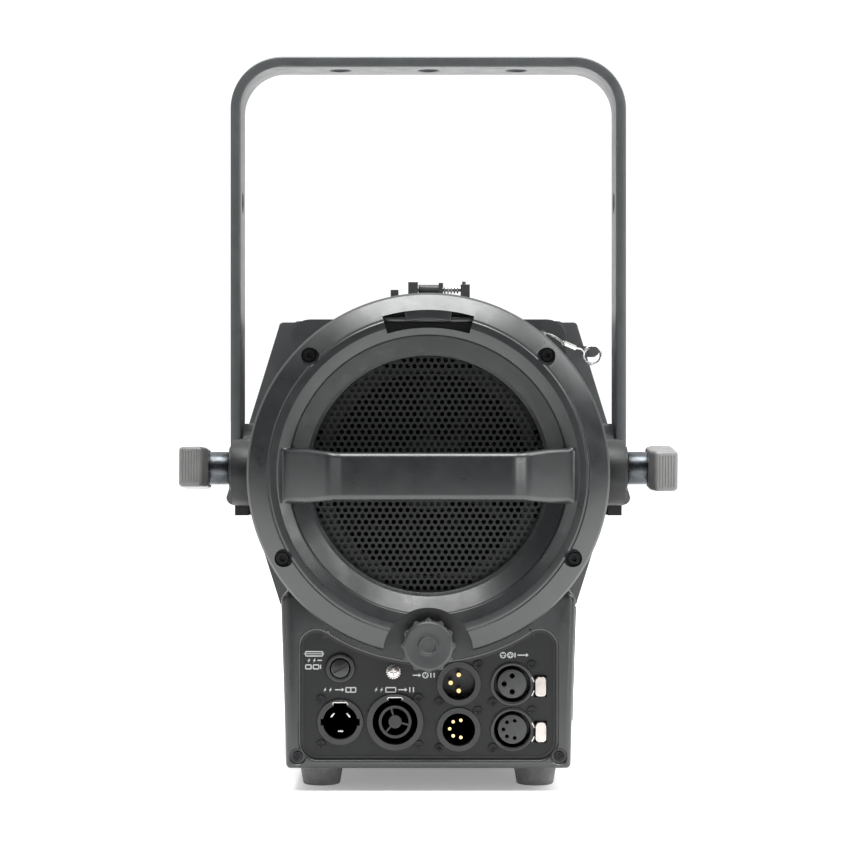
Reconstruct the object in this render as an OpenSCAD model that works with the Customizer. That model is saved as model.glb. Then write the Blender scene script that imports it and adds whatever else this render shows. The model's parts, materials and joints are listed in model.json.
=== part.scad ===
// Stage wash light with a hanging yoke, a rear connector base and folding barn doors.
// Millimetres, +Z up, beam along +Y, rear towards -Y. The origin is on the floor under the centre of
// the whole light. Most modules draw in lamp coordinates: (0, 0, 0) is where the yoke pivot line
// crosses the lamp axis, y runs along the beam.

/* [Head] */
// Height of the lamp axis above the floor
axis_height = 175; // [175:1:180]
// Outer radius of the rear cover
cover_radius = 99.2; // [98.6:0.1:100]
// Radius of the grille opening
grille_radius = 64.4; // [60:0.2:66]
// Hole-to-hole distance of the perforated grille
grille_pitch = 8.8; // [8.4:0.2:12]
// Distance from the pivot line back to the face of the handle
handle_reach = 186; // [184:1:190]
// Travel of the LED carriage between flood and spot
zoom_travel = 45; // [30:1:50]

/* [Yoke] */
// Overall width of the yoke
yoke_width = 236; // [236:1:240]
// Rise of the yoke above the pivot line
yoke_rise = 246; // [220:1:260]
// Width of the flat bar
yoke_depth = 40; // [30:1:44]
// Thickness of the flat bar
yoke_bar = 6; // [5:0.5:6]
// Outer radius of the yoke's bends
yoke_corner = 31; // [24:1:40]
// Radius of the clamp holes
clamp_hole_r = 6.5; // [5:0.25:7]

/* [Base] */
// Width of the base at its foot
base_width = 156.6; // [154:0.2:160]
// Height of the top of the base above the floor
base_top = 110; // [104:1:112]
// Height of the rubber feet
foot_height = 12.9; // [10:0.1:14]

/* [Barn doors] */
// Length of the top leaf
leaf_length = 122; // [110:1:124]
// Length of the bottom leaf, which folds over the top one
bottom_leaf_length = 104; // [96:1:124]
// Half of the leaf width at its hinge
leaf_half = 97; // [94:1:98]
// Growth of the half width per unit of length
leaf_flare = 0.285; // [0.2:0.005:0.3]
// Sheet thickness of the leaves
leaf_sheet = 1.2; // [1:0.1:1.4]

/* [Hidden] */
$fn = 64;

paint = [0.24, 0.26, 0.26];
dark = [0.1, 0.1, 0.11];
steel = [0.7, 0.7, 0.7];
brass = [0.8, 0.65, 0.3];
gap = 0.3;
wall = 3;

// Barn doors: three closed layers, measured along the beam, and their hinge lines
frame_back = 107;
frame_front = 110;
side_layer = 116.1;
top_layer = 120.1;
bottom_layer = 125.1;
hinge_side = 92;
hinge_height = 95.5;
knuckle_r = 2.6;
pin_r = 1.2;
pin_clearance = 0.05;
leaf_start = 3.4;
leaf_relief = 6.5;
ear = 2;
knuckle_length = 16;
knuckle_places = [-38, 38];
front_reach = bottom_layer + knuckle_r;

// Whole light
pivot_y = (handle_reach - front_reach) / 2;
axis_z = axis_height;

// Barrel and cover
barrel_r = 95;
barrel_back = -145.7;
barrel_front = 68;
cover_back = -146;
rim_back = -155;
crest_back = -163;
floor_back = -149;
cover_screw_r = 92;
cover_screw_angles = [45, 135, -30, -150];
grille_back = -145.7;
grille_disc_r = 70;
bulkhead_back = -114;
bulkhead = 4;
rod_x_place = 84;
rod_r = 4;
vent_angles = [44, 51, 58, 65, 115, 122, 129, 136];
lens_seat = 84;

// Zoom drive
screw_z = -92.5;
screw_r = 4;
pocket_z = -97;
pocket_r = 24.5;
knob_face = -168.5;
knob_foot = -152;

// Carriage at rest, and the front bulkhead that its travel needs
sink_back = -104;
sink_front = -46;
sink_r = 62;
bulkhead_front = sink_front + zoom_travel + 19;

// Base and panel, heights measured from the floor
base_back = -136;
base_front = 76;
base_half = base_width / 2;
base_half_top = base_half + 3;
side_lean = atan(3 / (base_top - foot_height));
panel_back = -140;
panel_front = -138;
bezel_back = -144;
bezel_screw_at = [-72, 19.5];
foot_places = [[-60, -108], [60, -108], [-60, 48], [60, 48]];

// Control panel: heights measured up the leaning side wall from its foot
menu_height = 55;
menu_face = 2;
button_places = [-68, -50, -32, -14];

// Sockets: places on the panel (x, height above the floor)
inlet_at = [-48.5, 38.3];
outlet_at = [-18.3, 38.3];
fuse_at = [-48.5, 68];
earth_at = [-19.2, 66];
in3_at = [16.8, 59.5];
in5_at = [16.7, 34.1];
out3_at = [46.2, 59.3];
out5_at = [46.3, 34.2];
socket_r = 12.1;
socket_floor = -124;
tab_offset = [15.6, -1.3];

// Contact places round a data socket's centre
pin_angles3 = [90, 180, 270];
pin_angles5 = [75, 127.5, 180, 232.5, 285];
pin_circle3 = 4.4;
pin_circle5 = 4.9;
blade_angles = [38, 142, 270];

// Yoke and lock knobs
arm_inner = yoke_width / 2 - yoke_bar;
stud_r = 5;
stud_end = 131;

// Latch over the barn-door frame: its pivot line runs along x at this (y, z)
latch_at = [88, 112];
latch_rod_r = 1.5;

// Lanyard route in lamp coordinates, chosen by hand
lanyard_r = 0.75;
lanyard_route = [
    [72, 73.9, 83], [72, 71.5, 83], [72.5, 69, 83.2], [74, 67.2, 83.2], [76.4, 66.4, 82.6],
    [79.2, 66.4, 81.4], [82.2, 67, 79.4], [85.2, 68.4, 77.4], [88, 70.4, 76.2], [90.6, 73, 75.2],
    [92.6, 76, 74.5], [94.2, 79.2, 74.2], [95.6, 82.5, 74.1], [96.8, 85.8, 73.9], [97.8, 89, 73.5],
    [98.6, 92, 72.8], [99.2, 94.8, 71.8], [99.4, 96.9, 70.4]
];
ferrule_span = [7, 10];
ring_at = [105, 97, 70.2];
ring_r = 5.6;
post_at = [106, 72.8];

// Placement helpers
module lamp() translate([0, pivot_y, axis_z]) children();
module slab(back, front) translate([0, front, 0]) rotate([90, 0, 0]) linear_extrude(front - back) children();
module turned() rotate([-90, 0, 0]) rotate_extrude() children();
module at(x, z) translate([x, 0, z]) children();
module on_panel(place) translate([place[0], 0, place[1] - axis_z]) children();
module on_side() translate([base_half, 0, foot_height - axis_z]) rotate([0, side_lean, 0]) children();
module on_latch() translate([0, latch_at[0], latch_at[1]]) children();
module rod_y(r, back, front) translate([0, back, 0]) rotate([-90, 0, 0]) cylinder(r = r, h = front - back);
module rod_x(r, left, right) translate([left, 0, 0]) rotate([0, 90, 0]) cylinder(r = r, h = right - left);
module rod_z(r, low, high) translate([0, 0, low]) cylinder(r = r, h = high - low);
module block(low, high) translate(low) cube(high - low);
module both_sides() {
    children();
    mirror([1, 0, 0]) children();
}

// Points on an arc that turns by this many degrees
function arc_points(x, z, r, from, turn = 90, steps = 6) =
    [for (i = [0:steps]) [x + r * cos(from + turn * i / steps), z + r * sin(from + turn * i / steps)]];
// Outline of a rounded rectangle from corner (x0, z0) to corner (x1, z1)
function rounded_points(x0, z0, x1, z1, r) = concat(
    arc_points(x1 - r, z1 - r, r, 0),
    arc_points(x0 + r, z1 - r, r, 90),
    arc_points(x0 + r, z0 + r, r, 180),
    arc_points(x1 - r, z0 + r, r, 270)
);

// ---------- Head shell ----------

module barrel() lamp() color(paint) {
    difference() {
        union() {
            turned() polygon([
                [barrel_r - wall, barrel_back], [barrel_r, barrel_back],
                [barrel_r, barrel_front], [barrel_r - wall, barrel_front]
            ]);
            for (y = [bulkhead_back, bulkhead_front])
                turned() polygon([[76, y], [93, y], [93, y + bulkhead], [76, y + bulkhead]]);
            for (y = [bulkhead_back, bulkhead_front])
                at(0, screw_z) rod_y(9, y, y + bulkhead);
            for (a = cover_screw_angles)
                at(cover_screw_r * cos(a), cover_screw_r * sin(a)) rod_y(6, barrel_back, barrel_back + 22);
        }
        for (a = cover_screw_angles)
            at(cover_screw_r * cos(a), cover_screw_r * sin(a)) rod_y(2.02, barrel_back - 1, barrel_back + 18);
        both_sides() at(rod_x_place, 0) rod_y(rod_r + 0.02, bulkhead_back - 1, bulkhead_front + bulkhead - 1);
        at(0, screw_z) rod_y(screw_r + 0.05, bulkhead_back - 1, bulkhead_front + bulkhead + 1);
        block([-30, bulkhead_back + bulkhead, -104], [30, bulkhead_front, -70]);
        block([-7, barrel_back - 1, -104], [7, bulkhead_back, -70]);
        for (a = vent_angles, y = [-98, -42, 30])
            rotate([0, -a, 0]) block([barrel_r - wall - 2, y, -1.6], [barrel_r + 1, y + 32, 1.6]);
    }
}

module front_housing() lamp() color(paint) {
    difference() {
        union() {
            slab(74, 104) polygon(rounded_points(-87, -92.5, 87, 92.5, 12));
            rod_y(97, barrel_front, 78);
            both_sides() block([84, 103, -24], [92, frame_front + 2.5, 24]);
            latch_lugs();
        }
        rod_y(76, barrel_front - 1, lens_seat);
        rod_y(82, lens_seat, 105);
        block([-89.3, frame_back - gap, -46], [89.3, frame_front + gap, 46]);
        on_latch() rod_x(latch_rod_r + 0.05, -11, 23);
    }
}

// Two lugs for the latch rod, with a stop pin on the right one, and a small lug to their left
module latch_lugs() {
    block([-12.8, 83, 92], [-6.6, 93, latch_at[1] + 4.5]);
    block([20.6, 83, 92], [26.4, 93, latch_at[1] + 3]);
    block([-24, 86, 92], [-19, 92, 111.7]);
    translate([22.7, 88, 0]) rod_z(1.2, latch_at[1] + 2, latch_at[1] + 5);
}

module lens() lamp() color([0.8, 0.85, 0.9, 0.5])
    turned() polygon([
        [0, lens_seat], [81.6, lens_seat], [81.6, 88], [76, 88], [76, 92], [70, 89], [70, 93],
        [62, 89.5], [62, 93.5], [53, 90], [53, 94], [43, 90.5], [43, 94.5], [32, 91], [32, 95.5],
        [22, 97.5], [10, 99], [0, 99.4]
    ]);

module lens_ring() lamp() color(dark) turned() polygon([[77, 88.2], [81.7, 88.2], [81.7, 92], [77, 92]]);

// Outer skin of the rear cover, swept about the lamp axis
function cover_skin() = [
    [cover_radius, cover_back], [cover_radius, rim_back + 1], [cover_radius - 1.2, rim_back - 0.6],
    [87.4, crest_back + 0.4], [86.8, crest_back + 1.4], [86, crest_back], [82.5, crest_back],
    [76, crest_back + 2.6], [75.4, crest_back + 4]
];

module handle() intersection() {
    translate([0, 0, -16]) linear_extrude(32) polygon([
        [-86, -156], [-84, -163.5], [-76, -169], [-54, -183.5], [-46, -handle_reach], [46, -handle_reach],
        [54, -183.5], [76, -169], [84, -163.5], [86, -156], [73, -156], [68, -160], [52, -171.5],
        [45, -174], [-45, -174], [-52, -171.5], [-68, -160], [-73, -156]
    ]);
    slab(-190, -150) polygon([
        [-88, -15.4], [-64, -15.4], [-46, -13.4], [46, -13.4], [64, -15.4], [88, -15.4],
        [88, 14.6], [64, 14.6], [46, 12.6], [-46, 12.6], [-64, 14.6], [-88, 14.6]
    ]);
}

module rear_cover() lamp() color(paint) {
    difference() {
        union() {
            turned() polygon(concat(cover_skin(), [
                [66.5, floor_back - 0.6], [grille_radius, floor_back], [grille_radius, cover_back],
                [72, cover_back], [79, crest_back + 6], [84, crest_back + 4], [96, rim_back + 3],
                [96, cover_back]
            ]));
            intersection() {
                turned() polygon(concat(cover_skin(), [[70, floor_back], [70, cover_back]]));
                union() {
                    at(0, pocket_z) rod_y(pocket_r + 2.5, -170, cover_back);
                    for (a = cover_screw_angles)
                        at(cover_screw_r * cos(a), cover_screw_r * sin(a)) rod_y(6.8, -170, cover_back);
                    block([-30, -170, 73.5], [30, cover_back, 89.5]);
                }
            }
            handle();
        }
        at(0, pocket_z) rod_y(pocket_r, -200, floor_back);
        at(0, screw_z) rod_y(screw_r + 0.05, -200, cover_back + 1);
        for (a = cover_screw_angles) at(cover_screw_r * cos(a), cover_screw_r * sin(a)) {
            rod_y(4.5, -200, -151);
            rod_y(2.2, -200, cover_back + 1);
        }
        slab(-170, -149.4) polygon([[-21.8, 77], [21.8, 77], [25.2, 86.4], [-25.2, 86.4]]);
        translate([0, -158, 84.6]) rod_x(2.02, -28, 28);
    }
}

module safety_bar() lamp() color(steel) translate([0, -158, 84.6]) rod_x(2, -27.8, 27.8);

// Rows of holes on a triangular grid, kept inside the opening
module grille() lamp() color(dark) {
    row = grille_pitch * sqrt(3) / 2;
    rows = floor(grille_radius / row);
    slab(grille_back, grille_back + 1.2) difference() {
        circle(r = grille_disc_r);
        for (j = [-rows:rows], i = [-8:8]) {
            hole = [(i + (j % 2 == 0 ? 0 : 0.5)) * grille_pitch, j * row];
            if (norm(hole) < grille_radius - 3) translate(hole) circle(r = grille_pitch * 0.38, $fn = 6);
        }
    }
}

module cap_screw(head_r, head, shank_r, shank) difference() {
    union() {
        rod_y(head_r, 0, head);
        rod_y(shank_r, head, head + shank);
    }
    translate([0, -1, 0]) rotate([-90, 0, 0]) cylinder(r = head_r * 0.45, h = head * 0.6 + 1, $fn = 6);
}

module cover_screws() lamp() color(steel)
    for (a = cover_screw_angles)
        translate([cover_screw_r * cos(a), -155.1, cover_screw_r * sin(a)]) cap_screw(3.5, 4, 2, 20);

// ---------- Base ----------

module base_shell() lamp() color(paint) {
    low = foot_height - axis_z;
    high = base_top - axis_z;
    difference() {
        slab(base_back, base_front)
            polygon([[-base_half, low], [base_half, low], [base_half_top, high], [-base_half_top, high]]);
        slab(base_back - 1, base_front - wall) polygon([
            [-base_half + wall, low + wall], [base_half - wall, low + wall],
            [base_half_top - wall, high - wall], [-base_half_top + wall, high - wall]
        ]);
        rod_y(97 + gap, base_back - 1, base_front + 1);
        block([-89, 73, -94], [89, 80, -60]);
        for (p = foot_places) translate([p[0], p[1], 0]) rod_z(1.52, low - 1, low + wall + 1);
        on_side() block([-6, -110, menu_height - 28], [5, 40, menu_height + 28]);
    }
}

// Opening of the bezel, or the panel that fits it with this much play all round. The top edge runs
// round the lamp axis between two lobes.
function panel_points(play) =
    let(
        half = 70.5 - play,
        low = 18 + play - axis_z,
        r = 10 - play,
        lobe_r = 9 - play,
        top_r = 104.1 + play,
        lobe_x = half - lobe_r,
        lobe_z = -sqrt(pow(top_r + lobe_r, 2) - pow(lobe_x, 2)),
        turn = atan2(-lobe_z, -lobe_x)
    )
    concat(
        arc_points(half - r, low + r, r, -90),
        arc_points(lobe_x, lobe_z, lobe_r, 0, turn),
        arc_points(0, 0, top_r, turn - 180, 180 - 2 * turn, 24),
        arc_points(-lobe_x, lobe_z, lobe_r, 180 - turn, turn),
        arc_points(r - half, low + r, r, 180)
    );

module rear_bezel() lamp() color(paint) {
    low = foot_height - axis_z;
    high = base_top - axis_z;
    difference() {
        union() {
            slab(bezel_back, base_back - 0.05)
                polygon([[-base_half, low], [base_half, low], [base_half_top, high], [-base_half_top, high]]);
            both_sides() on_panel(bezel_screw_at) rod_y(3.2, base_back - 1, base_back + 12);
        }
        rod_y(97 + gap, bezel_back - 1, base_back + 1);
        slab(bezel_back - 1, base_back + 1) polygon(panel_points(0));
        both_sides() on_panel(bezel_screw_at) {
            rod_y(4.1, bezel_back - 1, bezel_back + 2.6);
            rod_y(1.52, bezel_back - 1, base_back + 13);
        }
    }
}

module connector_panel() lamp() color(paint) difference() {
    slab(panel_back, panel_front) polygon(panel_points(0.2));
    on_panel(fuse_at) rod_y(7.6, -150, -130);
    on_panel(inlet_at) rod_y(12.65, -150, -130);
    on_panel(outlet_at) rod_y(14.3, -150, -130);
    for (p = [in3_at, in5_at, out3_at, out5_at]) on_panel(p) rod_y(11.8, -150, -130);
    for (p = [out3_at, out5_at])
        on_panel(p + tab_offset) block([-3.4, -150, -6], [3.4, -130, 6]);
    for (p = socket_screws()) on_panel(p) rod_y(1.52, -150, -130);
    on_panel(earth_at) rod_y(2.02, -150, -130);
}

// Screw places: inlet and outlet flanges, then two screws across each round data socket
function socket_screws() = concat(
    [inlet_at + [-10.8, 12.4], inlet_at + [-10.6, -12.4]],
    [outlet_at + [12.8, 13], outlet_at + [13, -12.8]],
    [for (p = [in3_at, in5_at, out3_at, out5_at], s = [-1, 1]) p + s * [10.7, 10.2]]
);

module feet() lamp() color(dark)
    for (p = foot_places) translate([p[0], p[1], -axis_z]) difference() {
        rotate_extrude() polygon([[0, 0], [10.3, 0], [12.5, foot_height], [0, foot_height]]);
        rod_z(1.55, -1, foot_height + 1);
        rod_z(4.5, -1, 5);
    }

// The same pan-head screw holds the bezel and the feet
module pan_screw() difference() {
    union() {
        rod_y(2.9, 0, 2);
        rod_y(1.5, 2, 15);
    }
    block([-1.6, -1, -0.35], [1.6, 0.9, 0.35]);
    block([-0.35, -1, -1.6], [0.35, 0.9, 1.6]);
}

module case_screws() lamp() color(steel) {
    both_sides() on_panel(bezel_screw_at) translate([0, bezel_back + 0.6, 0]) pan_screw();
    for (p = foot_places) translate([p[0], p[1], 3 - axis_z]) rotate([90, 0, 0]) pan_screw();
}

// Control panel let into the right wall of the base
module control_panel() lamp() color(dark) on_side() difference() {
    union() {
        block([-4.5, -109.7, menu_height - 27.7], [menu_face, 39.7, menu_height + 27.7]);
        block([0.02, -114, menu_height - 32], [menu_face, 44, menu_height + 32]);
    }
    block([-6, -106, menu_height - 25], [menu_face - 2.5, 36, menu_height + 25]);
    for (y = button_places) translate([0, y, menu_height]) rod_x(4.6, -5, menu_face + 1);
    block([menu_face - 4, 2, menu_height - 9], [menu_face + 1, 32, menu_height + 9]);
}

module display_window() lamp() color([0.1, 0.2, 0.3])
    on_side() block([menu_face - 2.4, 2.3, menu_height - 8.7], [menu_face - 0.4, 31.7, menu_height + 8.7]);

module button(y) lamp() color(steel) on_side() translate([0, y, menu_height]) {
    rod_x(4.3, menu_face - 4, menu_face + 1.8);
    rod_x(5.4, menu_face - 5, menu_face - 4);
}

module button_mode() button(button_places[0]);
module button_enter() button(button_places[1]);
module button_up() button(button_places[2]);
module button_down() button(button_places[3]);

// ---------- Sockets on the panel ----------

module fuse_holder() lamp() color(dark) on_panel(fuse_at) difference() {
    union() {
        rod_y(8.2, -142.5, panel_back - 0.02);
        rod_y(7.4, panel_back - 0.1, -104);
    }
    rod_y(5.4, -143, -106);
}

module fuse_cap() lamp() color(dark) on_panel(fuse_at) difference() {
    union() {
        rod_y(5, -144.2, -134);
        rod_y(3.2, -134.2, -132);
    }
    rotate([0, -30, 0]) block([-4, -146, -0.6], [4, -143, 0.6]);
}

module fuse_link() lamp() color([0.8, 0.8, 0.8]) on_panel(fuse_at) rod_y(2.6, -131.8, -111.8);

module power_inlet() lamp() color(dark) on_panel(inlet_at) difference() {
    union() {
        rod_y(12.5, -142, -108);
        slab(-137.8, -136) polygon(rounded_points(-13.5, -15, 13.5, 15, 3));
    }
    rod_y(9.6, -143, -112);
    block([-3.6, -143, 5], [3.6, -124, 11.4]);
    both_sides() block([8, -143, -1.8], [10.8, -124, 1.8]);
    for (s = [-1, 1]) at(-10.7, s * 12.4) rod_y(1.55, -138, -135);
}

module inlet_blades() lamp() color(steel) on_panel(inlet_at)
    for (a = blade_angles) rotate([0, -a, 0]) block([5, -126, -2], [6.2, -112, 2]);

module power_outlet() lamp() color(dark) on_panel(outlet_at) {
    difference() {
        union() {
            rod_y(15.5, -142.4, panel_back - 0.02);
            rod_y(14.1, panel_back - 0.1, -116);
        }
        rod_y(12.4, -143, -119);
        block([-3.4, -143, 10], [3.4, -130, 14.2]);
    }
    outlet_insert();
}

// Spoked insert that stands in the outlet's well
module outlet_insert() {
    difference() {
        rod_y(9, -140.5, -119.02);
        rod_y(7.5, -141, -122);
    }
    rod_y(3.6, -140, -121.9);
    for (a = [107, 228, 347]) rotate([0, -a, 0]) block([3.2, -139.5, -0.5], [8, -121.9, 0.5]);
}

module data_shell() difference() {
    union() {
        rod_y(socket_r, -141.4, panel_back - 0.02);
        rod_y(11.6, panel_back - 0.1, socket_floor + 4);
    }
    rod_y(9, -142, socket_floor);
}

module round_places(angles, circle_r) for (a = angles) at(circle_r * cos(a), circle_r * sin(a)) children();

module data_inlets() lamp() color(dark) for (p = [in3_at, in5_at]) on_panel(p) data_shell();

module data_pins() lamp() color(brass) {
    on_panel(in3_at) round_places(pin_angles3, pin_circle3) rod_y(1.2, -137, socket_floor);
    on_panel(in5_at) round_places(pin_angles5, pin_circle5) rod_y(0.9, -137, socket_floor);
}

// A shell with a loose-standing insert whose bores take the plug's pins
module data_outlet(place, angles, circle_r, bore_r) on_panel(place) {
    data_shell();
    difference() {
        rod_y(7.9, -140.6, socket_floor - 0.02);
        round_places(angles, circle_r) rod_y(bore_r, -142, socket_floor - 4);
    }
}

module data_outlets() lamp() color(dark) {
    data_outlet(out3_at, pin_angles3, pin_circle3, 1.4);
    data_outlet(out5_at, pin_angles5, pin_circle5, 1.1);
}

// Sprung push tab that releases a locked data plug
module push_tab(place) lamp() color(steel) on_panel(place + tab_offset)
    slab(-144.2, -137.6) polygon(rounded_points(-3, -5.4, 3, 5.4, 2));

module push_tab_upper() push_tab(out3_at);
module push_tab_lower() push_tab(out5_at);

module connector_screws() lamp() color(steel) for (p = socket_screws()) on_panel(p) difference() {
    union() {
        rod_y(2.5, -141.6, panel_back - 0.02);
        rod_y(1.45, panel_back - 0.1, -134);
    }
    block([-1.5, -143, -0.3], [1.5, -140.8, 0.3]);
    block([-0.3, -143, -1.5], [0.3, -140.8, 1.5]);
}

module earth_screw() lamp() color(steel) on_panel(earth_at) difference() {
    union() {
        rod_y(4.15, -141.2, panel_back - 0.02);
        rod_y(3.4, -143.4, -141);
        rod_y(2, panel_back - 0.1, -128);
    }
    block([-2, -145, -0.4], [2, -142.2, 0.4]);
    block([-0.4, -145, -2], [0.4, -142.2, 2]);
}

// ---------- Pivot hardware ----------

module side_bracket() difference() {
    union() {
        rod_x(27, 90, 110.4);
        rod_x(24, 110.2, 111.6);
        block([90, -96, -19], [110.8, 0, 18]);
        translate([0, -96, -0.5]) rod_x(18.5, 90, 110.8);
        block([90, -88, -25], [110.4, -30, -18]);
    }
    rod_y(barrel_r + 0.02, -150, 60);
    rod_x(stud_r + 0.02, 97, 112);
    block([101, -90, -26], [102.6, -80, -19]);
}

module side_bracket_left() lamp() color(paint) mirror([1, 0, 0]) side_bracket();
module side_bracket_right() lamp() color(paint) side_bracket();

module pivot_studs() lamp() color(steel) both_sides() rod_x(stud_r, 97.4, stud_end);

module friction_washers() lamp() color(dark) both_sides() difference() {
    rod_x(13, yoke_width / 2 + 0.15, yoke_width / 2 + 1.8);
    rod_x(stud_r + 0.02, 110, 125);
}

module lock_knob() difference() {
    union() {
        rod_x(10, yoke_width / 2 + 2, 134);
        intersection() {
            translate([132, 0, 0]) rotate([90, 0, 90]) linear_extrude(17)
                polygon(rounded_points(-23, -12, 23, 12, 4));
            translate([0, 0, -20]) linear_extrude(40)
                polygon([[131, -14], [135, -24], [149, -20], [149, 20], [135, 24], [131, 14]]);
        }
    }
    rod_x(stud_r + 0.05, 110, stud_end + 1);
}

module lock_knob_right() lamp() color(dark) rotate([4, 0, 0]) lock_knob();
module lock_knob_left() lamp() color(dark) mirror([1, 0, 0]) rotate([-4, 0, 0]) lock_knob();

function yoke_outline(half, rise, r, low) = concat(
    [[half, low]],
    arc_points(half - r, rise - r, r, 0, steps = 12),
    arc_points(-half + r, rise - r, r, 90, steps = 12),
    [[-half, low]]
);

module yoke() lamp() color(paint) difference() {
    union() {
        slab(-yoke_depth / 2, yoke_depth / 2) difference() {
            polygon(yoke_outline(yoke_width / 2, yoke_rise, yoke_corner, 0));
            polygon(yoke_outline(arm_inner, yoke_rise - yoke_bar, yoke_corner - yoke_bar, -1));
        }
        both_sides() rod_x(yoke_depth / 2, arm_inner, yoke_width / 2);
    }
    both_sides() rod_x(stud_r + 0.08, arm_inner - 1, yoke_width / 2 + 1);
    both_sides() translate([0, 0, 160]) rod_x(clamp_hole_r, arm_inner - 1, yoke_width / 2 + 1);
    for (x = [-53, 0, 53]) translate([x, 0, 0]) rod_z(clamp_hole_r, yoke_rise - yoke_bar - 1, yoke_rise + 1);
}

// ---------- Inside ----------

module guide_rods() lamp() color(steel)
    both_sides() at(rod_x_place, 0) rod_y(rod_r, bulkhead_back, bulkhead_front + bulkhead - 1.2);

module lead_screw() lamp() color(steel) at(0, screw_z) {
    rod_y(screw_r, -163.8, bulkhead_front + bulkhead - 1);
    for (i = [0:8]) rod_y(screw_r + 0.7, -105 + i * 12.5, -102 + i * 12.5);
}

module zoom_knob() lamp() color(dark) at(0, screw_z) difference() {
    union() {
        rod_y(13.4, knob_face, knob_foot);
        for (i = [0:11]) rotate([0, 30 * i, 0]) at(12.2, 0) rod_y(2.8, knob_face + 1, -158);
        rod_y(5, knob_face - 1, knob_face + 1);
    }
    rod_y(screw_r + 0.02, -163.9, knob_foot + 1);
}

module fan_frame() lamp() color(dark) {
    difference() {
        slab(-143, -118) difference() {
            polygon(rounded_points(-58, -58, 58, 58, 6));
            circle(r = 56);
        }
        for (x = [-52, 52], z = [-52, 52]) at(x, z) rod_y(2.2, -144, -117);
    }
    fan_stator();
}

// Motor plate, hub pin and three arms carry the rotor
module fan_stator() {
    rod_y(20, -121.5, -118);
    rod_y(2, -139.5, -121);
    for (a = [90, 210, 330]) rotate([0, -a, 0]) block([18, -121, -2.5], [57, -118, 2.5]);
}

module fan_rotor() lamp() color(dark) difference() {
    union() {
        rod_y(20, -141, -122.4);
        for (a = [0:360 / 7:359]) rotate([0, a, 0]) translate([18, -131.5, 0]) rotate([32, 0, 0])
            block([0, -8.5, -0.9], [35.5, 8.5, 0.9]);
    }
    rod_y(17, -138.5, -121);
    rod_y(2.05, -142, -121);
}

module heat_sink() lamp() color([0.55, 0.56, 0.58]) difference() {
    union() {
        rod_y(sink_r, sink_front - 8, sink_front);
        rod_y(16, sink_back, sink_front - 2);
        for (a = [7.5:15:352.5])
            rotate([0, a, 0]) block([14, sink_back, -1], [sink_r - 2, sink_front - 5, 1]);
        block([-91, sink_front - 7, -8], [91, sink_front - 1, 8]);
        block([-11, sink_front - 7, -101], [11, sink_front - 1, -50]);
    }
    both_sides() at(rod_x_place, 0) rod_y(6.02, sink_front - 9, sink_front + 1);
    at(0, screw_z) rod_y(7.02, sink_front - 9, sink_front + 1);
}

module led_module() lamp() color([0.9, 0.85, 0.5]) {
    slab(sink_front + 0.02, sink_front + 2) polygon(rounded_points(-28, -28, 28, 28, 4));
    rod_y(14, sink_front + 1.9, sink_front + 3.5);
}

module condenser() lamp() color([0.8, 0.85, 0.9, 0.5])
    turned() polygon([
        [0, sink_front + 4], [18, sink_front + 4], [22, sink_front + 2.2], [26, sink_front + 2.2],
        [34, sink_front + 18], [34, sink_front + 21], [24, sink_front + 24], [12, sink_front + 26],
        [0, sink_front + 26.6]
    ]);

module carriage_bushes() lamp() color(brass) {
    both_sides() at(rod_x_place, 0) difference() {
        rod_y(6, sink_front - 14, sink_front + 4);
        rod_y(rod_r + 0.05, sink_front - 15, sink_front + 5);
    }
    at(0, screw_z) difference() {
        rod_y(7, sink_front - 14, sink_front + 4);
        rod_y(screw_r + 0.8, sink_front - 15, sink_front + 5);
    }
}

module power_supply() lamp() color([0.6, 0.6, 0.62]) {
    block([-62, -88, 16.2 - axis_z], [20, 40, 58 - axis_z]);
    block([20, -70, 20 - axis_z], [28, 20, 34 - axis_z]);
}

module control_board() lamp() color([0.1, 0.4, 0.2]) {
    block([66, -104, 44 - axis_z], [67.6, 34, 92 - axis_z]);
    for (y = [-90, -60, -30, 6]) block([60, y, 56 - axis_z], [66.02, y + 14, 70 - axis_z]);
}

// ---------- Barn doors ----------

// One hinge drawn on the bottom edge: the hinge line runs along x at the origin, the leaf points to +z
module hinge_ears(y_offset) for (x = knuckle_places, s = [-1, 1])
    translate([x + s * (knuckle_length / 2 + ear / 2 + 0.2), 0, 0]) {
        block([-ear / 2, -y_offset, -3], [ear / 2, 2.8, 3]);
        block([-ear / 2, -y_offset, 2], [ear / 2, 3 - y_offset, 6]);
    }

module hinge_knuckles() for (x = knuckle_places)
    rod_x(knuckle_r, x - knuckle_length / 2, x + knuckle_length / 2);

module pin_holes(r) for (x = knuckle_places) rod_x(r, x - 12, x + 12);

module pins() for (x = knuckle_places)
    rod_x(pin_r, x - knuckle_length / 2 - ear, x + knuckle_length / 2 + ear);

// Leaf of this outline: it is cut back beside its knuckles, so that it clears the hinge ears
module leaf(outline) difference() {
    union() {
        slab(-leaf_sheet / 2, leaf_sheet / 2) {
            difference() {
                polygon(outline);
                for (x = knuckle_places)
                    translate([x - knuckle_length / 2 - ear - 0.8, 0])
                        square([knuckle_length + 2 * ear + 1.6, leaf_relief]);
            }
            for (x = knuckle_places)
                translate([x - knuckle_length / 2, 0]) square([knuckle_length, leaf_relief + 1]);
        }
        hinge_knuckles();
    }
    pin_holes(pin_r + pin_clearance);
}

// Flared leaf with rounded corners
module wide_leaf(length) leaf(concat(
    arc_points(leaf_half - 3, leaf_start + 3, 3, -90),
    arc_points(leaf_half + leaf_flare * length - 5.6, length - 5, 5, 0),
    arc_points(-leaf_half - leaf_flare * length + 5.6, length - 5, 5, 90),
    arc_points(3 - leaf_half, leaf_start + 3, 3, 180)
));

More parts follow.
